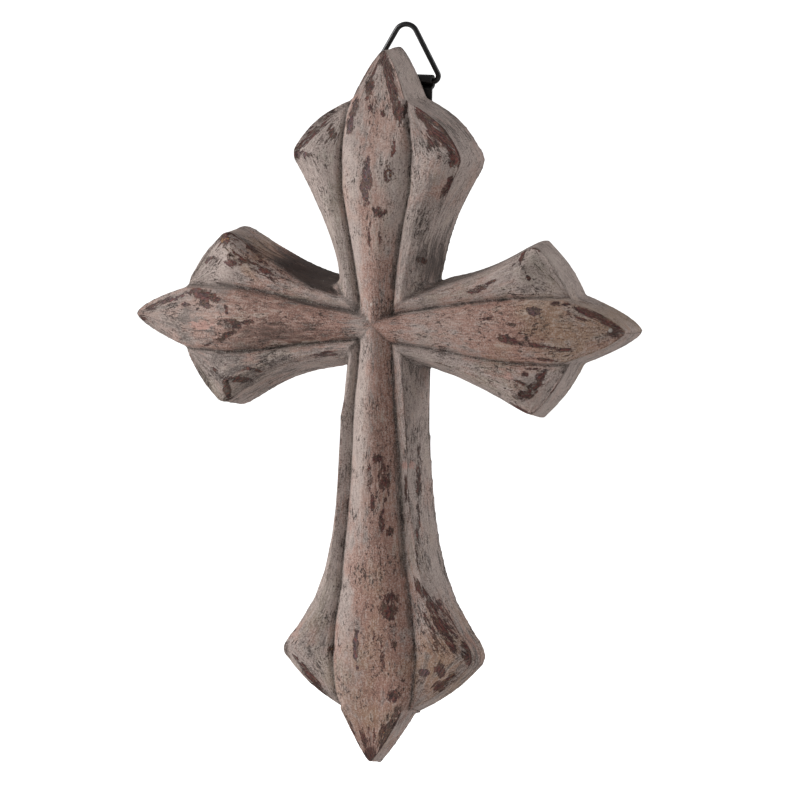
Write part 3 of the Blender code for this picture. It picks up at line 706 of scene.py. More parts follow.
@dataclass(frozen=True)
class ArmPlan:
    """How one arm is carved, in millimetres."""

    reach: float
    waist: float
    spread: float
    corner: float
    notch: float
    flare_power: float
    leaf_start: float
    leaf_height: float
    tip_height: float
    lift: float
    groove_starts: tuple[float, float]
    grooves: tuple[GroovePlace, ...]
    fuller_lobe: float = 0.0

    def groove(self, along: np.ndarray, name: str) -> np.ndarray:
        """Read one of the grooves' values at each distance along the arm."""
        places = [spot.along for spot in self.grooves]
        return np.interp(along, places, [getattr(spot, name) for spot in self.grooves])

    def petal_half(self, along: np.ndarray, across: np.ndarray) -> np.ndarray:
        """Return the petal's width from its middle to the groove on a point's side."""
        low = -self.groove(along, "low")
        half = np.where(across > 0, self.groove(along, "high"), low)
        beyond = np.clip((self.reach - along) / (self.reach - self.notch), 0.15, 1)
        return half * np.where(along > self.notch, beyond, 1.0)

    def lobe_half(self, along: np.ndarray) -> np.ndarray:
        """Return half the width over the lobes at each distance along the arm."""
        share = np.clip((along - self.waist) / (self.corner - self.waist), 0, 1)
        flared = self.waist + (self.spread - self.waist) * share ** self.flare_power
        beyond = np.clip((along - self.corner) / (self.notch - self.corner), 0, 1)
        mouth = self.grooves[-1].high
        return flared + (mouth - self.spread) * beyond


def groove_places(*rows: tuple[float, ...]) -> tuple[GroovePlace, ...]:
    """Read rows of along, low, high, low shift and high shift."""
    return tuple(GroovePlace(*row) for row in rows)


PLANS = {
    Arm.TOP: ArmPlan(
        reach=96.7, waist=15.7, spread=32.4, corner=59.5, notch=79.5, flare_power=1.6,
        leaf_start=55, leaf_height=25.4, tip_height=17.4, lift=1.9, groove_starts=(3.8, 3.7),
        grooves=groove_places(
            (0, -5.5, 6.0, 1.0, -0.5), (9, -6.2, 6.8, 1.0, -0.5), (21, -8.4, 7.7, 0.5, -1.2),
            (35, -10.9, 9.7, 0.7, -0.6), (48, -13.6, 12.1, 0.0, -0.4),
            (62, -14.0, 12.5, 0.2, -1.5), (74, -12.2, 11.0, -1.0, -0.8),
            (80, -10.8, 10.0, -0.6, 0.0))),
    Arm.RIGHT: ArmPlan(
        reach=92.0, waist=13.2, spread=30.5, corner=58.4, notch=72.5, flare_power=1.6,
        leaf_start=54, leaf_height=23.7, tip_height=16.4, lift=0.9, groove_starts=(6.1, 6.0),
        grooves=groove_places(
            (0, -6.0, 3.5, 0.0, -2.2), (6, -6.5, 3.8, -0.2, -2.2), (17, -7.6, 5.6, -0.2, -1.6),
            (29, -9.1, 7.9, 0.0, -0.5), (42, -10.9, 9.8, 0.0, 0.1), (54, -12.1, 11.3, 0.0, -0.2),
            (66, -12.0, 12.0, -0.3, 0.0), (73, -11.3, 12.0, 0.0, 0.3))),
    Arm.FOOT: ArmPlan(
        reach=156.5, waist=12.5, spread=37.4, corner=117.5, notch=138.3, flare_power=5.2,
        leaf_start=118, leaf_height=17.1, tip_height=10.9, lift=0.4, groove_starts=(5.8, 6.5),
        fuller_lobe=1.3,
        grooves=groove_places(
            (0, -5.6, 6.0, 0.6, -0.5), (8, -5.9, 6.2, 0.7, -0.5), (27, -7.9, 7.3, 0.9, -0.3),
            (42, -8.7, 8.4, 1.5, 0.0), (56, -9.4, 9.5, 1.5, -0.2), (84, -12.0, 11.1, 0.9, -2.0),
            (93, -12.7, 12.5, 0.8, -1.7), (107, -15.0, 14.3, -0.8, -1.5),
            (120, -16.0, 15.5, -1.2, -0.8), (134, -14.6, 14.2, -1.0, 0.6),
            (139, -12.6, 12.4, 0.0, 0.0))),
    Arm.LEFT: ArmPlan(
        reach=92.0, waist=13.2, spread=31.3, corner=58.4, notch=72.5, flare_power=1.8,
        leaf_start=54, leaf_height=23.7, tip_height=15.4, lift=0.9, groove_starts=(5.7, 5.5),
        grooves=groove_places(
            (0, -5.0, 3.5, 0.5, -2.2), (6, -5.8, 3.9, 0.4, -2.2), (17, -7.0, 5.4, 0.4, -2.1),
            (30, -8.7, 7.7, 0.0, -1.8), (43, -11.0, 9.8, -0.8, -1.7),
            (56, -12.3, 11.4, -0.3, -1.0), (73, -11.5, 11.2, 0.3, -0.5))),
}


@dataclass
class CarvedCross:
    """The carved wooden cross."""

    body: str = "cross"
    node: str = "cross"
    voxel: float = 0.69 * MM
    quick_voxel: float = 1.0 * MM
    merge: float = 0.002 * MM
    soften: int = 4
    lift_wide: float = 1.6
    lift_base: float = 4.0
    lift_run: float = 6.0
    hip_blur: int = 48
    hip_share: float = 0.9
    hip_rounds: int = 3
    hip_run: float = 34.0
    hip_fade: float = 16.0
    hip_start: float = 0.10 * MM
    hip_limit: float = 0.45 * MM
    hip_off_petal: float = 0.72
    groove_depth: float = 0.85 * MM
    groove_width: float = 1.25
    crease_cut: float = 0.8
    crease_limit: float = 0.35 * MM
    wobble: float = 0.20 * MM
    wobble_long: float = 13.0
    wobble_short: float = 5.0
    gouge: float = 0.12 * MM
    gouge_size: tuple = (17.0, 2.1, 9.0)
    back_flat: float = 0.9 * MM
    back_normal: float = 0.995
    seat_depth: float = 1.2 * MM
    dissolve_angle: float = 1.5
    # How far from the back the painted shade along the rim reaches, in millimetres, and how dark it
    # gets.
    rim_shade_reach: float = 2.0
    rim_shade_strength: float = 1.7
    crease_blur: int = 3
    fine_blur: int = 2
    fine_gain: float = 1.2
    edge_blur: int = 10
    edge_full: float = 0.30
    broad_blur: int = 32
    # The width of the painted shade line in the groove bottoms, in millimetres.
    line_width: float = 1.1
    fringe_gap: float = 5.0

    def build(self) -> bpy.types.Object:
        """Model the worn cross from its solid, paint its maps and dress it."""
        piece = self.fine_copy()
        self.shift_grooves(piece)
        self.round_hips(piece)
        self.carve(piece)
        self.flatten_back(piece)
        self.paint_maps(piece)
        piece.data.materials.clear()
        piece.data.materials.append(WornPaint().dress())
        piece.data.materials.append(BackWash().dress())
        self.back_faces(piece)
        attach(piece, self.body)
        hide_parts(self.node)
        return piece

    def fine_copy(self) -> bpy.types.Object:
        """Copy the solid, merge it, remesh it fine and wear its edges soft."""
        source = frame["nodes"][self.node]
        guide = source.copy()
        guide.data = source.data.copy()
        guide.parent = None
        guide.name = "solid_guide"
        bpy.context.scene.collection.objects.link(guide)
        for key in list(guide.keys()):
            del guide[key]
        only(guide)
        bpy.ops.object.mode_set(mode="EDIT")
        bpy.ops.mesh.select_all(action="SELECT")
        bpy.ops.mesh.remove_doubles(threshold=self.merge)
        bpy.ops.object.mode_set(mode="OBJECT")
        bpy.ops.object.duplicate()
        piece = bpy.context.view_layer.objects.active
        piece.name = "carved_cross"
        size = self.voxel
        apply_modifier(piece, "REMESH", mode="VOXEL", voxel_size=size, adaptivity=0.0)
        apply_modifier(piece, "SHRINKWRAP", target=guide, wrap_method="NEAREST_SURFACEPOINT")
        apply_modifier(piece, "SMOOTH", factor=0.5, iterations=self.soften)
        bpy.data.objects.remove(guide)
        return piece

    def shift_grooves(self, piece: bpy.types.Object) -> None:
        """Move the grooves to their places, lift their banks and slope the leaves' ends."""
        net = Net(piece)
        moved = net.points.copy()
        depth = -net.points[:, 1] / MM
        high_up = np.clip((depth - self.lift_base) / self.lift_run, 0, 1)
        on_leaf = petal_share(net)
        for arm, chosen in arm_of(net).items():
            plan = PLANS[arm]
            along, across = on_arm(net, arm)
            upper = across > 0
            shift = np.where(upper, plan.groove(along, "high_shift"),
                             plan.groove(along, "low_shift"))
            wanted = np.where(upper, plan.groove(along, "high"), plan.groove(along, "low"))
            line = np.abs(wanted - shift)
            edge = np.maximum(plan.lobe_half(along), line + 1)
            far = np.abs(across)
            outer = np.clip((far - line) / (edge - line), 0, 1)
            weight = np.where(far < line, far / line, 1 - outer)
            swell = plan.fuller_lobe * 4 * outer * (1 - outer) * upper
            calm = np.clip((along - 1) / 4, 0, 1)
            step = (shift * weight + swell) * calm * MM
            axis = 0 if arm in (Arm.TOP, Arm.FOOT) else 2
            moved[chosen, axis] += step[chosen]
            bank = np.clip((far - line) / self.lift_wide, 0, 1)
            beside = (1 - np.clip(outer * 2, 0, 1)) ** 2 * bank
            moved[chosen, 1] -= (plan.lift * beside * calm * high_up * MM)[chosen]
            run = np.clip((along - plan.leaf_start) / (plan.reach - plan.leaf_start), 0, 1.1)
            plane = plan.leaf_height + (plan.tip_height - plan.leaf_height) * run
            cut = chosen & (along > plan.leaf_start)
            moved[cut, 1] += (np.maximum(depth - plane, 0) * on_leaf * MM)[cut]
        net.place(moved)

    def round_hips(self, piece: bpy.types.Object) -> None:
        """Round the ends of the lobes' hips, where the arms flare to their corners."""
        net = Net(piece)
        ramp = np.zeros(len(net.points))
        for arm, chosen in arm_of(net).items():
            run = on_arm(net, arm)[0] - PLANS[arm].corner + self.hip_run
            ramp[chosen] = np.clip(run / self.hip_fade, 0, 1)[chosen]
        for _ in range(self.hip_rounds):
            net = Net(piece)
            bulge = -net.dish(self.hip_blur)
            front = np.clip(-net.normals[:, 1] * 3 - 1, 0, 1)
            hip = (np.clip(bulge / self.hip_start, 0, 1)
                   * np.clip(2 - bulge / self.hip_limit, 0, 1)
                   * front * ramp * (1 - petal_share(net) * self.hip_off_petal))
            net.place(net.points - net.normals * (bulge * hip * self.hip_share)[:, None])
        apply_modifier(piece, "SMOOTH", factor=0.5, iterations=2)

    def carve(self, piece: bpy.types.Object) -> None:
        """Cut the grooves sharp and give the faces the wobble of hand carving."""
        net = Net(piece)
        off_back = np.clip((-net.points[:, 1] - self.back_flat) / (2 * MM), 0, 1)
        front = np.clip(-net.normals[:, 1] * 2.5, 0, 1)
        crease = np.clip(net.dish(self.crease_blur) * self.crease_cut, 0, self.crease_limit)
        moved = net.points - net.normals * (crease * off_back)[:, None]
        moved[:, 1] += groove_share(net, self.groove_width) * self.groove_depth * front
        waves = np.empty(len(moved))
        strokes = np.empty(len(moved))
        gouges = brush_places(net) / self.gouge_size
        for index, (spot, stroke) in enumerate(zip(moved / MM, gouges)):
            broad = noise.noise(Vector(spot) / self.wobble_long)
            waves[index] = broad + 0.4 * noise.noise(Vector(spot) / self.wobble_short)
            strokes[index] = noise.noise(Vector(stroke))
        push = (waves * self.wobble + strokes * self.gouge) * off_back
        moved += net.normals * push[:, None]
        net.place(moved)

    def flatten_back(self, piece: bpy.types.Object) -> None:
        """Join the small faces in the middle of the flat back into large ones."""
        mesh = piece.data
        for polygon in mesh.polygons:
            polygon.select = self.is_back(polygon)
        for part in (*mesh.edges, *mesh.vertices):
            part.select = False
        only(piece)
        bpy.context.tool_settings.mesh_select_mode = (False, False, True)
        bpy.ops.object.mode_set(mode="EDIT")
        bpy.ops.mesh.select_less()
        bpy.ops.mesh.select_less()
        bpy.ops.mesh.dissolve_limited(angle_limit=math.radians(self.dissolve_angle))
        bpy.ops.object.mode_set(mode="OBJECT")
        apply_modifier(piece, "TRIANGULATE", min_vertices=5)
        only(piece)
        bpy.ops.object.shade_smooth()

    def is_back(self, polygon: bpy.types.MeshPolygon) -> bool:
        """Tell whether a face lies in the flat back or in the hanger's seat."""
        return (polygon.normal.y > self.back_normal
                and polygon.center.y > -self.seat_depth)

    def back_faces(self, piece: bpy.types.Object) -> None:
        """Give the back's faces, its rim and the seat's step the plain back finish."""
        for polygon in piece.data.polygons:
            rim = polygon.center.y > -self.back_flat and polygon.normal.y > 0.2
            polygon.material_index = 1 if rim or self.is_back(polygon) else 0

    def paint_maps(self, piece: bpy.types.Object) -> None:
        """Write onto the mesh what the paint reads, with the maps of its painted light and shade.
        """
        net = Net(piece)
        fine = net.dish(self.fine_blur) * self.fine_gain / MM
        broad = net.dish(self.broad_blur) / MM
        rounded = np.clip(-net.dish(self.edge_blur) / MM / self.edge_full, 0, 1)
        forward = -net.normals[:, 1]
        wall = np.clip((0.62 - np.abs(forward)) / 0.3, 0, 1)
        upright = np.clip((0.7 - np.abs(forward)) / 0.3, 0, 1)
        # A painted shade band along the back rim, laid into the dark map.
        rim = np.clip(1 + net.points[:, 1] / MM / self.rim_shade_reach, 0, 1) * self.rim_shade_strength
        bare = reaches(net, WORN_SPOTS, Bare,
                       dict.fromkeys(Arm, np.clip(forward * 2.5 + 0.2, 0, 1)))
        tones = reaches(net, TONES_AND_PAINTED_LIGHT, Tone, dict.fromkeys(Arm, np.clip(forward + 1.4, 0, 1)))
        # Painted shade on the side walls near the crotches and on the foot's walls.
        walls = reaches(net, WALL_PAINTED_SHADE, Tone,
                        {arm: upright * chosen for arm, chosen in arm_of(net).items()})
        walls[Tone.DARK] = np.maximum(walls[Tone.DARK], rim)
        maps = {
            "place": net.points / MM,
            "brush": brush_places(net),
            "wall": wall,
            # hollow: how concave each place is, where the paint lays dirt and painted shade.
            "hollow": np.clip(fine / 0.14, 0, 1) * 0.5 + np.clip(broad / 2.2, 0, 0.5),
            "valley": np.clip(broad / 1.4, 0, 1),
            "crest": np.clip(-fine / 0.12, 0, 1),
            "edge": rounded * (1 - groove_share(net, self.fringe_gap)),
            "petal": petal_share(net) * (1 - wall),
            # line: the groove bottoms, where the paint lays a painted shade line.
            "line": groove_share(net, self.line_width) * (1 - wall),
            "bare": np.maximum.reduce([bare[kind] for kind in Bare
                                       if kind not in (Bare.BLUSH, Bare.CHALK)]),
            **{kind.value: reached for kind, reached in bare.items()},
            **{tone.value: np.maximum(tones[tone], walls[tone]) for tone in Tone},
        }
        for name, values in maps.items():
            net.write(name, values)


class Net:
    """A mesh as arrays: its points, normals and the edges between them."""

    def __init__(self, piece: bpy.types.Object) -> None:
        """Read a piece's mesh."""
        self.mesh = piece.data
        count = len(self.mesh.vertices)
        self.points = np.empty(count * 3)
        self.mesh.vertices.foreach_get("co", self.points)
        self.points = self.points.reshape(-1, 3)
        self.normals = np.empty(count * 3)
        self.mesh.vertex_normals.foreach_get("vector", self.normals)
        self.normals = self.normals.reshape(-1, 3)
        ends = np.empty(len(self.mesh.edges) * 2, int)
        self.mesh.edges.foreach_get("vertices", ends)
        self.ends = ends.reshape(-1, 2)
        self.degree = np.bincount(ends, minlength=count).astype(float)

    def blur(self, values: np.ndarray, times: int) -> np.ndarray:
        """Average each vertex's values with its neighbours', again and again."""
        first, second = self.ends.T
        for _ in range(times):
            summed = np.empty_like(values)
            for column in range(values.shape[1]):
                line = values[:, column]
                summed[:, column] = (
                    np.bincount(first, line[second], len(line))
                    + np.bincount(second, line[first], len(line)))
            values = 0.5 * values + 0.5 * summed / self.degree[:, None]
        return values

    def dish(self, times: int) -> np.ndarray:
        """Return how far each point lies below its blurred surroundings, in metres."""
        spread = self.blur(self.points, times)
        return np.einsum("ij,ij->i", spread - self.points, self.normals)

    def place(self, points: np.ndarray) -> None:
        """Move the mesh's vertices."""
        self.mesh.vertices.foreach_set("co", points.astype(np.float32).ravel())
        self.mesh.update()

    def write(self, name: str, values: np.ndarray) -> None:
        """Write an attribute of one number or of three onto the vertices."""
        if values.ndim == 1:
            made = self.mesh.attributes.new(name, "FLOAT", "POINT")
            made.data.foreach_set("value", values.astype(np.float32))
        else:
            made = self.mesh.attributes.new(name, "FLOAT_VECTOR", "POINT")
            made.data.foreach_set("vector", values.astype(np.float32).ravel())


def on_arm(net: Net, arm: Arm) -> tuple[np.ndarray, np.ndarray]:
    """Return each vertex's place along an arm and across it, in millimetres."""
    x, z = net.points[:, 0] / MM, net.points[:, 2] / MM
    places = {Arm.TOP: (z, x), Arm.FOOT: (-z, x), Arm.RIGHT: (x, z), Arm.LEFT: (-x, z)}
    return places[arm]


def arm_of(net: Net) -> dict[Arm, np.ndarray]:
    """Tell which arm each vertex belongs to, split along the mitres of the crossing."""
    x, z = net.points[:, 0] / MM, net.points[:, 2] / MM
    level = PLANS[Arm.RIGHT].waist
    upper = (z > 0) & (np.abs(x) * level < z * PLANS[Arm.TOP].waist)
    lower = (z <= 0) & (np.abs(x) * level < -z * PLANS[Arm.FOOT].waist)
    beside = ~upper & ~lower
    return {Arm.TOP: upper, Arm.FOOT: lower, Arm.RIGHT: beside & (x > 0),
            Arm.LEFT: beside & (x <= 0)}


def brush_places(net: Net) -> np.ndarray:
    """Return where each vertex lies along the brush strokes.

    The strokes run along an arm and fan out with it, and on the side walls they run
    along the wall.

    Args:
        net: The mesh.

    Returns:
        For each vertex the distance along the stroke and two distances across it.
    """
    petal_fan, lobe_fan, arm_apart, wall_apart = 9, 13, 40, 30
    brush = np.zeros_like(net.points)
    depth = -net.points[:, 1] / MM
    wall = np.abs(net.normals[:, 1]) < 0.5
    for number, (arm, chosen) in enumerate(arm_of(net).items()):
        along, across = on_arm(net, arm)
        plan = PLANS[arm]
        half = plan.petal_half(along, across)
        lobe = np.maximum(plan.lobe_half(along) - half, 2.0)
        side = np.sign(across)
        inside = np.clip(np.abs(across) / half, 0, 1) * petal_fan
        outside = np.clip((np.abs(across) - half) / lobe, 0, 1.3) * lobe_fan
        fan = (inside + outside) * side + number * arm_apart
        turned = (along - plan.corner) - (np.abs(across) - plan.spread)
        run = np.where(wall & (along > plan.corner), plan.corner + turned * 0.7, along)
        aside = np.where(wall, side * wall_apart + number * arm_apart, fan)
        stroke = np.stack([run, aside, depth * np.where(wall, 1.0, 0.25)], axis=1)
        brush[chosen] = stroke[chosen]
    return brush


def petal_share(net: Net) -> np.ndarray:
    """Return 1 on the petals and 0 on the lobes, soft over the grooves."""
    share = np.zeros(len(net.points))
    for arm, chosen in arm_of(net).items():
        along, across = on_arm(net, arm)
        half = PLANS[arm].petal_half(along, across)
        soft = np.where(along > PLANS[arm].notch, 1.0,
                        np.clip((half - np.abs(across)) / 1.2 + 0.5, 0, 1))
        share[chosen] = soft[chosen]
    return share


def groove_share(net: Net, width: float) -> np.ndarray:
    """Return 1 in the bottom of the grooves beside the petals and 0 beyond their width."""
    share = np.zeros(len(net.points))
    for arm, plan in PLANS.items():
        along, across = on_arm(net, arm)
        for name, start in zip(("low", "high"), plan.groove_starts):
            off = np.abs(across - plan.groove(along, name))
            begun = np.clip(along - start + 1.0, 0, 1) * np.clip(plan.notch + 1 - along, 0, 1)
            share = np.maximum(share, np.clip(1 - off / width, 0, 1) * begun)
    return share


def reaches(net: Net, table: dict, kinds: type[Enum],
            cover: dict[Arm, np.ndarray]) -> dict[Enum, np.ndarray]:
    """Return for each kind how strongly the strongest of its spots reaches each vertex.

    Args:
        net: The mesh.
        table: The spots' rows by arm and kind.
        kinds: The kinds that get a map.
        cover: How far an arm's spots may show at each vertex.

    Returns:
        One map for each kind.
    """
    maps = {kind: np.zeros(len(net.points)) for kind in kinds}
    for (arm, kind), rows in table.items():
        for row in rows:
            reached = Spot(*row).reach(*on_arm(net, arm)) * cover[arm]
            maps[kind] = np.maximum(maps[kind], reached)
    return maps


@dataclass
class Hanger:
    """The black hanger: a folded strap, its screw and the wire ring that swings in it."""

    body: str = "cross"
    ring_body: str = "ring"
    strap_node: str = "hanger_strap"
    ring_node: str = "hanging_ring"
    screw_node: str = "hanger_screw"
    wire: float = 1.9 * MM
    wire_sides: int = 20
    ring_narrower: float = 0.25 * MM
    corner_round: float = 2.1 * MM
    apex_round: float = 4.3 * MM
    sheet: float = 1.1 * MM
    loop_play: float = 0.5 * MM
    strap_narrower: float = 0.35 * MM
    fold_round: float = 1.1 * MM
    layer_gap: float = 0.06 * MM
    end_round: float = 2.6 * MM
    edge_round: float = 0.16 * MM
    shank_radius: float = 1.496 * MM
    shank_start: float = 0.9
    head_radius: float = 3.4 * MM
    head_rise: float = 1.9 * MM
    head_sides: int = 48
    dome: tuple = ((1.0, 0.22), (0.985, 0.16), (0.95, 0.20), (0.90, 0.18), (0.80, 0.14),
                   (0.60, 0.08), (0.30, 0.02))
    recess_long: float = 3.5 * MM
    recess_wide: float = 0.75 * MM
    recess_deep: float = 1.0 * MM
    recess_turn: float = 27.0

    def build(self) -> list[bpy.types.Object]:
        """Model the hanger's pieces, dress them and return them."""
        plan = (
            (self.strap, self.strap_node, self.body, BlackEnamel("black_strap", gloss=0.42)),
            (self.ring, self.ring_node, self.ring_body, BlackEnamel("black_wire", gloss=0.28)),
            (self.screw, self.screw_node, self.body, BlackEnamel("black_screw", gloss=0.34)))
        pieces = []
        for model, node, body, finish in plan:
            piece = model()
            piece.data.materials.append(finish.dress())
            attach(piece, body)
            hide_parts(node)
            pieces.append(piece)
        return pieces

    def axis(self) -> Vector:
        """Return the middle of the wire's bar, around which the strap is folded."""
        low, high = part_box(self.ring_node)
        return Vector(((low.x + high.x) / 2, (low.y + high.y) / 2, low.z + self.wire / 2))

    def ring(self) -> bpy.types.Object:
        """Draw the wire's round section along the ring's sides and around its corners."""
        low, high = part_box(self.ring_node)
        axis = self.axis()
        half = (high.x - low.x - self.wire) / 2 - self.ring_narrower
        rise = high.z - self.wire / 2 - axis.z
        corner = Vector((half - self.corner_round, 0, self.corner_round))
        apex = Vector((0, 0, rise - self.apex_round))
        side = corner - apex
        lean = math.atan2(side.z, side.x) + math.acos(
            (self.apex_round - self.corner_round) / side.length)
        outward = Vector((math.cos(lean), 0, math.sin(lean)))
        leg = apex + outward * self.apex_round - corner - outward * self.corner_round
        flip = Vector((-1, 1, 1))
        bar = Vector((corner.x, 0, 0))
        bpy.ops.mesh.primitive_circle_add(
            vertices=self.wire_sides, radius=self.wire / 2, location=axis,
            rotation=(0, math.pi / 2, 0))
        start_edit("wire_ring")
        draw_out(bar)
        swing(lean + math.pi / 2, axis + corner)
        draw_out(leg)
        swing(math.pi - 2 * lean, axis + apex)
        draw_out(-leg * flip)
        swing(lean + math.pi / 2, axis + corner * flip)
        draw_out(bar)
        return end_edit(join=True)

    def strap(self) -> bpy.types.Object:
        """Fold a sheet over the wire's bar and lay its end on itself."""
        low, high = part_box(self.strap_node)
        axis = self.axis()
        half = (high.x - low.x) / 2 - self.strap_narrower
        middle = self.wire / 2 + self.loop_play + self.sheet / 2
        front = axis.y - middle
        back = front + self.sheet + self.layer_gap
        turn = math.acos((back - axis.y + self.fold_round) / (middle + self.fold_round))
        fold = Vector((axis.x, back + self.fold_round,
                       axis.z - (middle + self.fold_round) * math.sin(turn)))
        bpy.ops.mesh.primitive_plane_add(size=1, location=(axis.x, front, low.z))
        start_edit("folded_strap")
        bpy.ops.transform.resize(value=(half * 2, self.sheet, 1))
        bpy.ops.mesh.delete(type="ONLY_FACE")
        bpy.ops.mesh.select_all(action="SELECT")
        draw_out(Vector((0, 0, axis.z - low.z)))
        swing(math.pi + turn, axis, (1, 0, 0), 24)
        swing(turn, fold, (-1, 0, 0), 8)
        draw_out(Vector((0, 0, low.z - fold.z)))
        piece = end_edit(join=True, sides=4)
        for edge in piece.data.edges:
            ends = [piece.data.vertices[index].co for index in edge.vertices]
            lowest = all(end.z < low.z + self.sheet / 4 for end in ends)
            edge.select = lowest and abs(ends[0].x - ends[1].x) < self.sheet / 4
        bpy.context.tool_settings.mesh_select_mode = (False, True, False)
        bpy.ops.object.mode_set(mode="EDIT")
        bpy.ops.mesh.bevel(offset=self.end_round, segments=7, affect="EDGES")
        bpy.ops.object.mode_set(mode="OBJECT")
        apply_modifier(piece, "BEVEL", width=self.edge_round, segments=3,
                       limit_method="ANGLE", angle_limit=EDGE_ABOVE)
        bpy.ops.object.shade_smooth_by_angle(angle=SMOOTH_BELOW)
        return piece

    def screw(self) -> bpy.types.Object:
        """Turn a domed head on its shank and cut a crossed recess into it."""
        low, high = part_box(self.screw_node)
        seat = Vector(((low.x + high.x) / 2, high.y - self.head_rise, (low.z + high.z) / 2))
        start = low.y * self.shank_start
        bpy.ops.mesh.primitive_circle_add(
            vertices=self.head_sides, radius=self.shank_radius,
            location=(seat.x, start, seat.z), rotation=(math.pi / 2, 0, 0))
        start_edit("pan_screw")
        draw_out(Vector((0, seat.y - start, 0)))
        for wider, further in ((self.head_radius / self.shank_radius, 0.0), *self.dome):
            draw_out(Vector((0, self.head_rise * further, 0)))
            seat.y += self.head_rise * further
            bpy.ops.transform.resize(value=(wider, 1, wider), center_override=seat)
        piece = end_edit(join=False, sides=self.head_sides)
        for turn in (self.recess_turn, self.recess_turn + 90):
            bpy.ops.mesh.primitive_cube_add(size=1, location=seat)
            cutter = bpy.context.view_layer.objects.active
            cutter.scale = (self.recess_long, self.recess_deep * 2, self.recess_wide)
            cutter.rotation_euler = (0, math.radians(turn), 0)
            apply_modifier(piece, "BOOLEAN", object=cutter, operation="DIFFERENCE")
            bpy.data.objects.remove(cutter)
        only(piece)
        apply_modifier(piece, "BEVEL", width=self.edge_round / 2, segments=2,
                       limit_method="ANGLE", angle_limit=EDGE_ABOVE)
        bpy.ops.object.shade_smooth_by_angle(angle=SMOOTH_BELOW)
        return piece


def start_edit(name: str) -> None:
    """Name the new piece and select all of it for modelling."""
    piece = only(bpy.context.view_layer.objects.active)
    piece.name = name
    bpy.ops.object.mode_set(mode="EDIT")
    bpy.ops.mesh.select_all(action="SELECT")


def draw_out(step: Vector) -> None:
    """Extrude the selected rim by a step."""
    bpy.ops.mesh.extrude_region_move(TRANSFORM_OT_translate={"value": step})


def swing(angle: float, centre: Vector, axis: tuple[float, float, float] = (0, 1, 0),
          steps: int = 14) -> None:
    """Spin the selected rim around a centre.

    Args:
        angle: How far, in radians.
        centre: The point that it goes around.
        axis: The direction of the axis through that point.
        steps: How many sections the turn gets.
    """
    bpy.ops.mesh.spin(steps=steps, angle=angle, center=centre, axis=axis)


def end_edit(join: bool, sides: int = 0) -> bpy.types.Object:
    """Close the piece that is being modelled and put its place into its mesh.

    Args:
        join: Whether its last rim is welded onto its first.
        sides: How many sides an open end may have to be capped, or 0 for none.

    Returns:
        The finished object.
    """
    bpy.ops.mesh.select_all(action="SELECT")
    if join:
        bpy.ops.mesh.remove_doubles(threshold=0.00001)
    if sides:
        bpy.ops.mesh.fill_holes(sides=sides)
    bpy.ops.mesh.normals_make_consistent(inside=False)
    bpy.ops.mesh.select_all(action="DESELECT")
    bpy.ops.object.mode_set(mode="OBJECT")
    piece = only(bpy.context.view_layer.objects.active)
    bpy.ops.object.transform_apply(location=True, rotation=True, scale=True)
    bpy.ops.object.shade_smooth_by_angle(angle=SMOOTH_BELOW)
    return piece


def direction(azimuth: float, elevation: float) -> Vector:
    """Return the way to an azimuth, counted from the front, and an elevation in degrees."""
    turn, rise = math.radians(azimuth), math.radians(elevation)
    return Vector((math.sin(turn) * math.cos(rise), -math.cos(turn) * math.cos(rise),
                   math.sin(rise)))


@dataclass(frozen=True)
class Softbox:
    """A soft square light that looks at the cross: its angles in degrees, its distance and
    its side in metres."""

    name: str
    azimuth: float
    elevation: float
    far: float
    side: float
    watts: float

    def hang(self) -> bpy.types.Object:
        """Hang the light."""
        spot = direction(self.azimuth, self.elevation) * self.far
        data = bpy.data.lights.new(self.name, "AREA")
        data.energy = self.watts
        data.size = self.side
        light = bpy.data.objects.new(self.name, data)
        light.location = spot
        light.rotation_euler = spot.to_track_quat("Z", "Y").to_euler()
        bpy.context.scene.collection.objects.link(light)
        return light


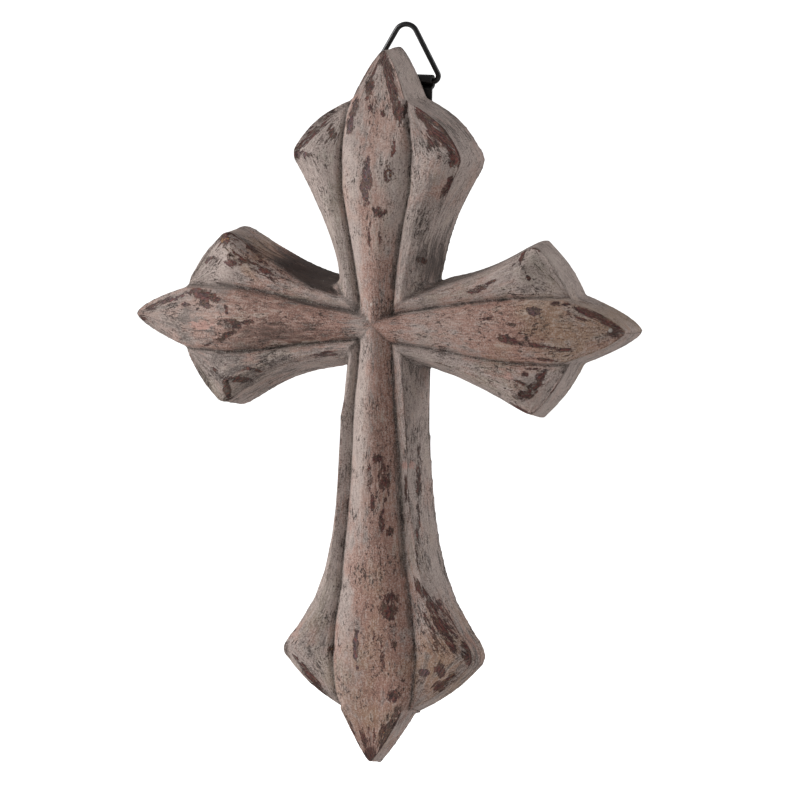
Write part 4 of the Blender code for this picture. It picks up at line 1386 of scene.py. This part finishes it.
@dataclass
class Studio:
    """The pale floor, the soft lights and the camera of the photograph."""

    azimuth: float = 20.0
    elevation: float = 3.0
    roll: float = 1.396
    distance: float = 3.2088
    pixels_per_mm: float = 2.8
    image_side: float = 793.0
    origin_right: float = 393.63
    origin_down: float = 321.72
    sensor: float = 36.0
    floor_drop: float = 45 * MM
    floor_side: float = 60.0
    floor_colour: tuple = srgb(243, 242, 241)
    room_light: float = 0.25
    lights: tuple[Softbox, ...] = (Softbox("window", -62, 18, 1.6, 0.8, 20),
                                   Softbox("far_side", 114, 28, 1.8, 1.0, 10.5))

    def camera(self) -> bpy.types.Object:
        """Place the camera at the photograph's angle, aimed at the picture's centre."""
        turn = math.radians(self.azimuth)
        back = direction(self.azimuth, self.elevation)
        right = Vector((math.cos(turn), math.sin(turn), 0))
        upward = right.cross(-back)
        lean = math.radians(self.roll)
        side = right * math.cos(lean) + upward * math.sin(lean)
        up = upward * math.cos(lean) - right * math.sin(lean)
        centre = self.image_side / 2
        aim = (side * (centre - self.origin_right) - up * (centre - self.origin_down))
        aim *= MM / self.pixels_per_mm
        eye = back * self.distance
        ahead = (aim - eye).normalized()
        side = (side - ahead * side.dot(ahead)).normalized()
        up = side.cross(ahead)
        data = bpy.data.cameras.new("photo_camera")
        focal = self.pixels_per_mm / MM * self.distance
        data.sensor_width = self.sensor
        data.lens = focal / self.image_side * self.sensor
        data.clip_start = 0.01
        data.clip_end = 400
        camera = bpy.data.objects.new("photo_camera", data)
        camera.matrix_world = Matrix.Translation(eye) @ Matrix(
            (side, up, -ahead)).transposed().to_4x4()
        bpy.context.scene.collection.objects.link(camera)
        bpy.context.scene.camera = camera
        return camera

    def floor(self, lowest: float) -> bpy.types.Object:
        """Lay a pale floor below the cross's foot, as bright as the background."""
        bpy.ops.mesh.primitive_plane_add(size=self.floor_side,
                                         location=(0, 0, lowest - self.floor_drop))
        floor = bpy.context.view_layer.objects.active
        floor.name = "pale_floor"
        sheet = Sheet("pale_floor")
        seen = sheet.value("ShaderNodeLightPath", output="Is Camera Ray")
        floor.data.materials.append(sheet.surface({
            "Base Color": self.floor_colour, "Roughness": 0.9, "Specular IOR Level": 0.1,
            "Emission Strength": 1.0, "Emission Color": seen}))
        floor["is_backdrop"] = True
        return floor

    def world(self) -> bpy.types.World:
        """Fill the room with pale light, and show the camera plain white."""
        sheet = Sheet("pale_room", bpy.data.worlds)
        seen = sheet.value("ShaderNodeLightPath", output="Is Camera Ray")
        room, backdrop = (
            sheet.value("ShaderNodeBackground", {}, {"Color": (1, 1, 1, 1), "Strength": strength})
            for strength in (self.room_light, 1.0))
        either = sheet.value("ShaderNodeMixShader", {}, {0: seen, 1: room, 2: backdrop})
        sheet.node("ShaderNodeOutputWorld", {}, {"Surface": either})
        bpy.context.scene.world = sheet.holder
        return sheet.holder

    def build(self, lowest: float) -> None:
        """Set up the camera, the floor, the lights and the pale room."""
        self.camera()
        self.floor(lowest)
        for light in self.lights:
            light.hang()
        self.world()
        bpy.context.scene.view_settings.view_transform = "Standard"


def main() -> None:
    """Build the cross, the hanger and the studio in order."""
    logging.basicConfig(level=logging.INFO, format="%(name)s: %(message)s")
    solid_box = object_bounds()
    cross = CarvedCross().build()
    LOG.info("%s: %d faces", cross.name, len(cross.data.polygons))
    for piece in Hanger().build():
        LOG.info("%s dressed", piece.name)
    Studio().build(solid_box[0].z)


if __name__ == "__main__":
    main()
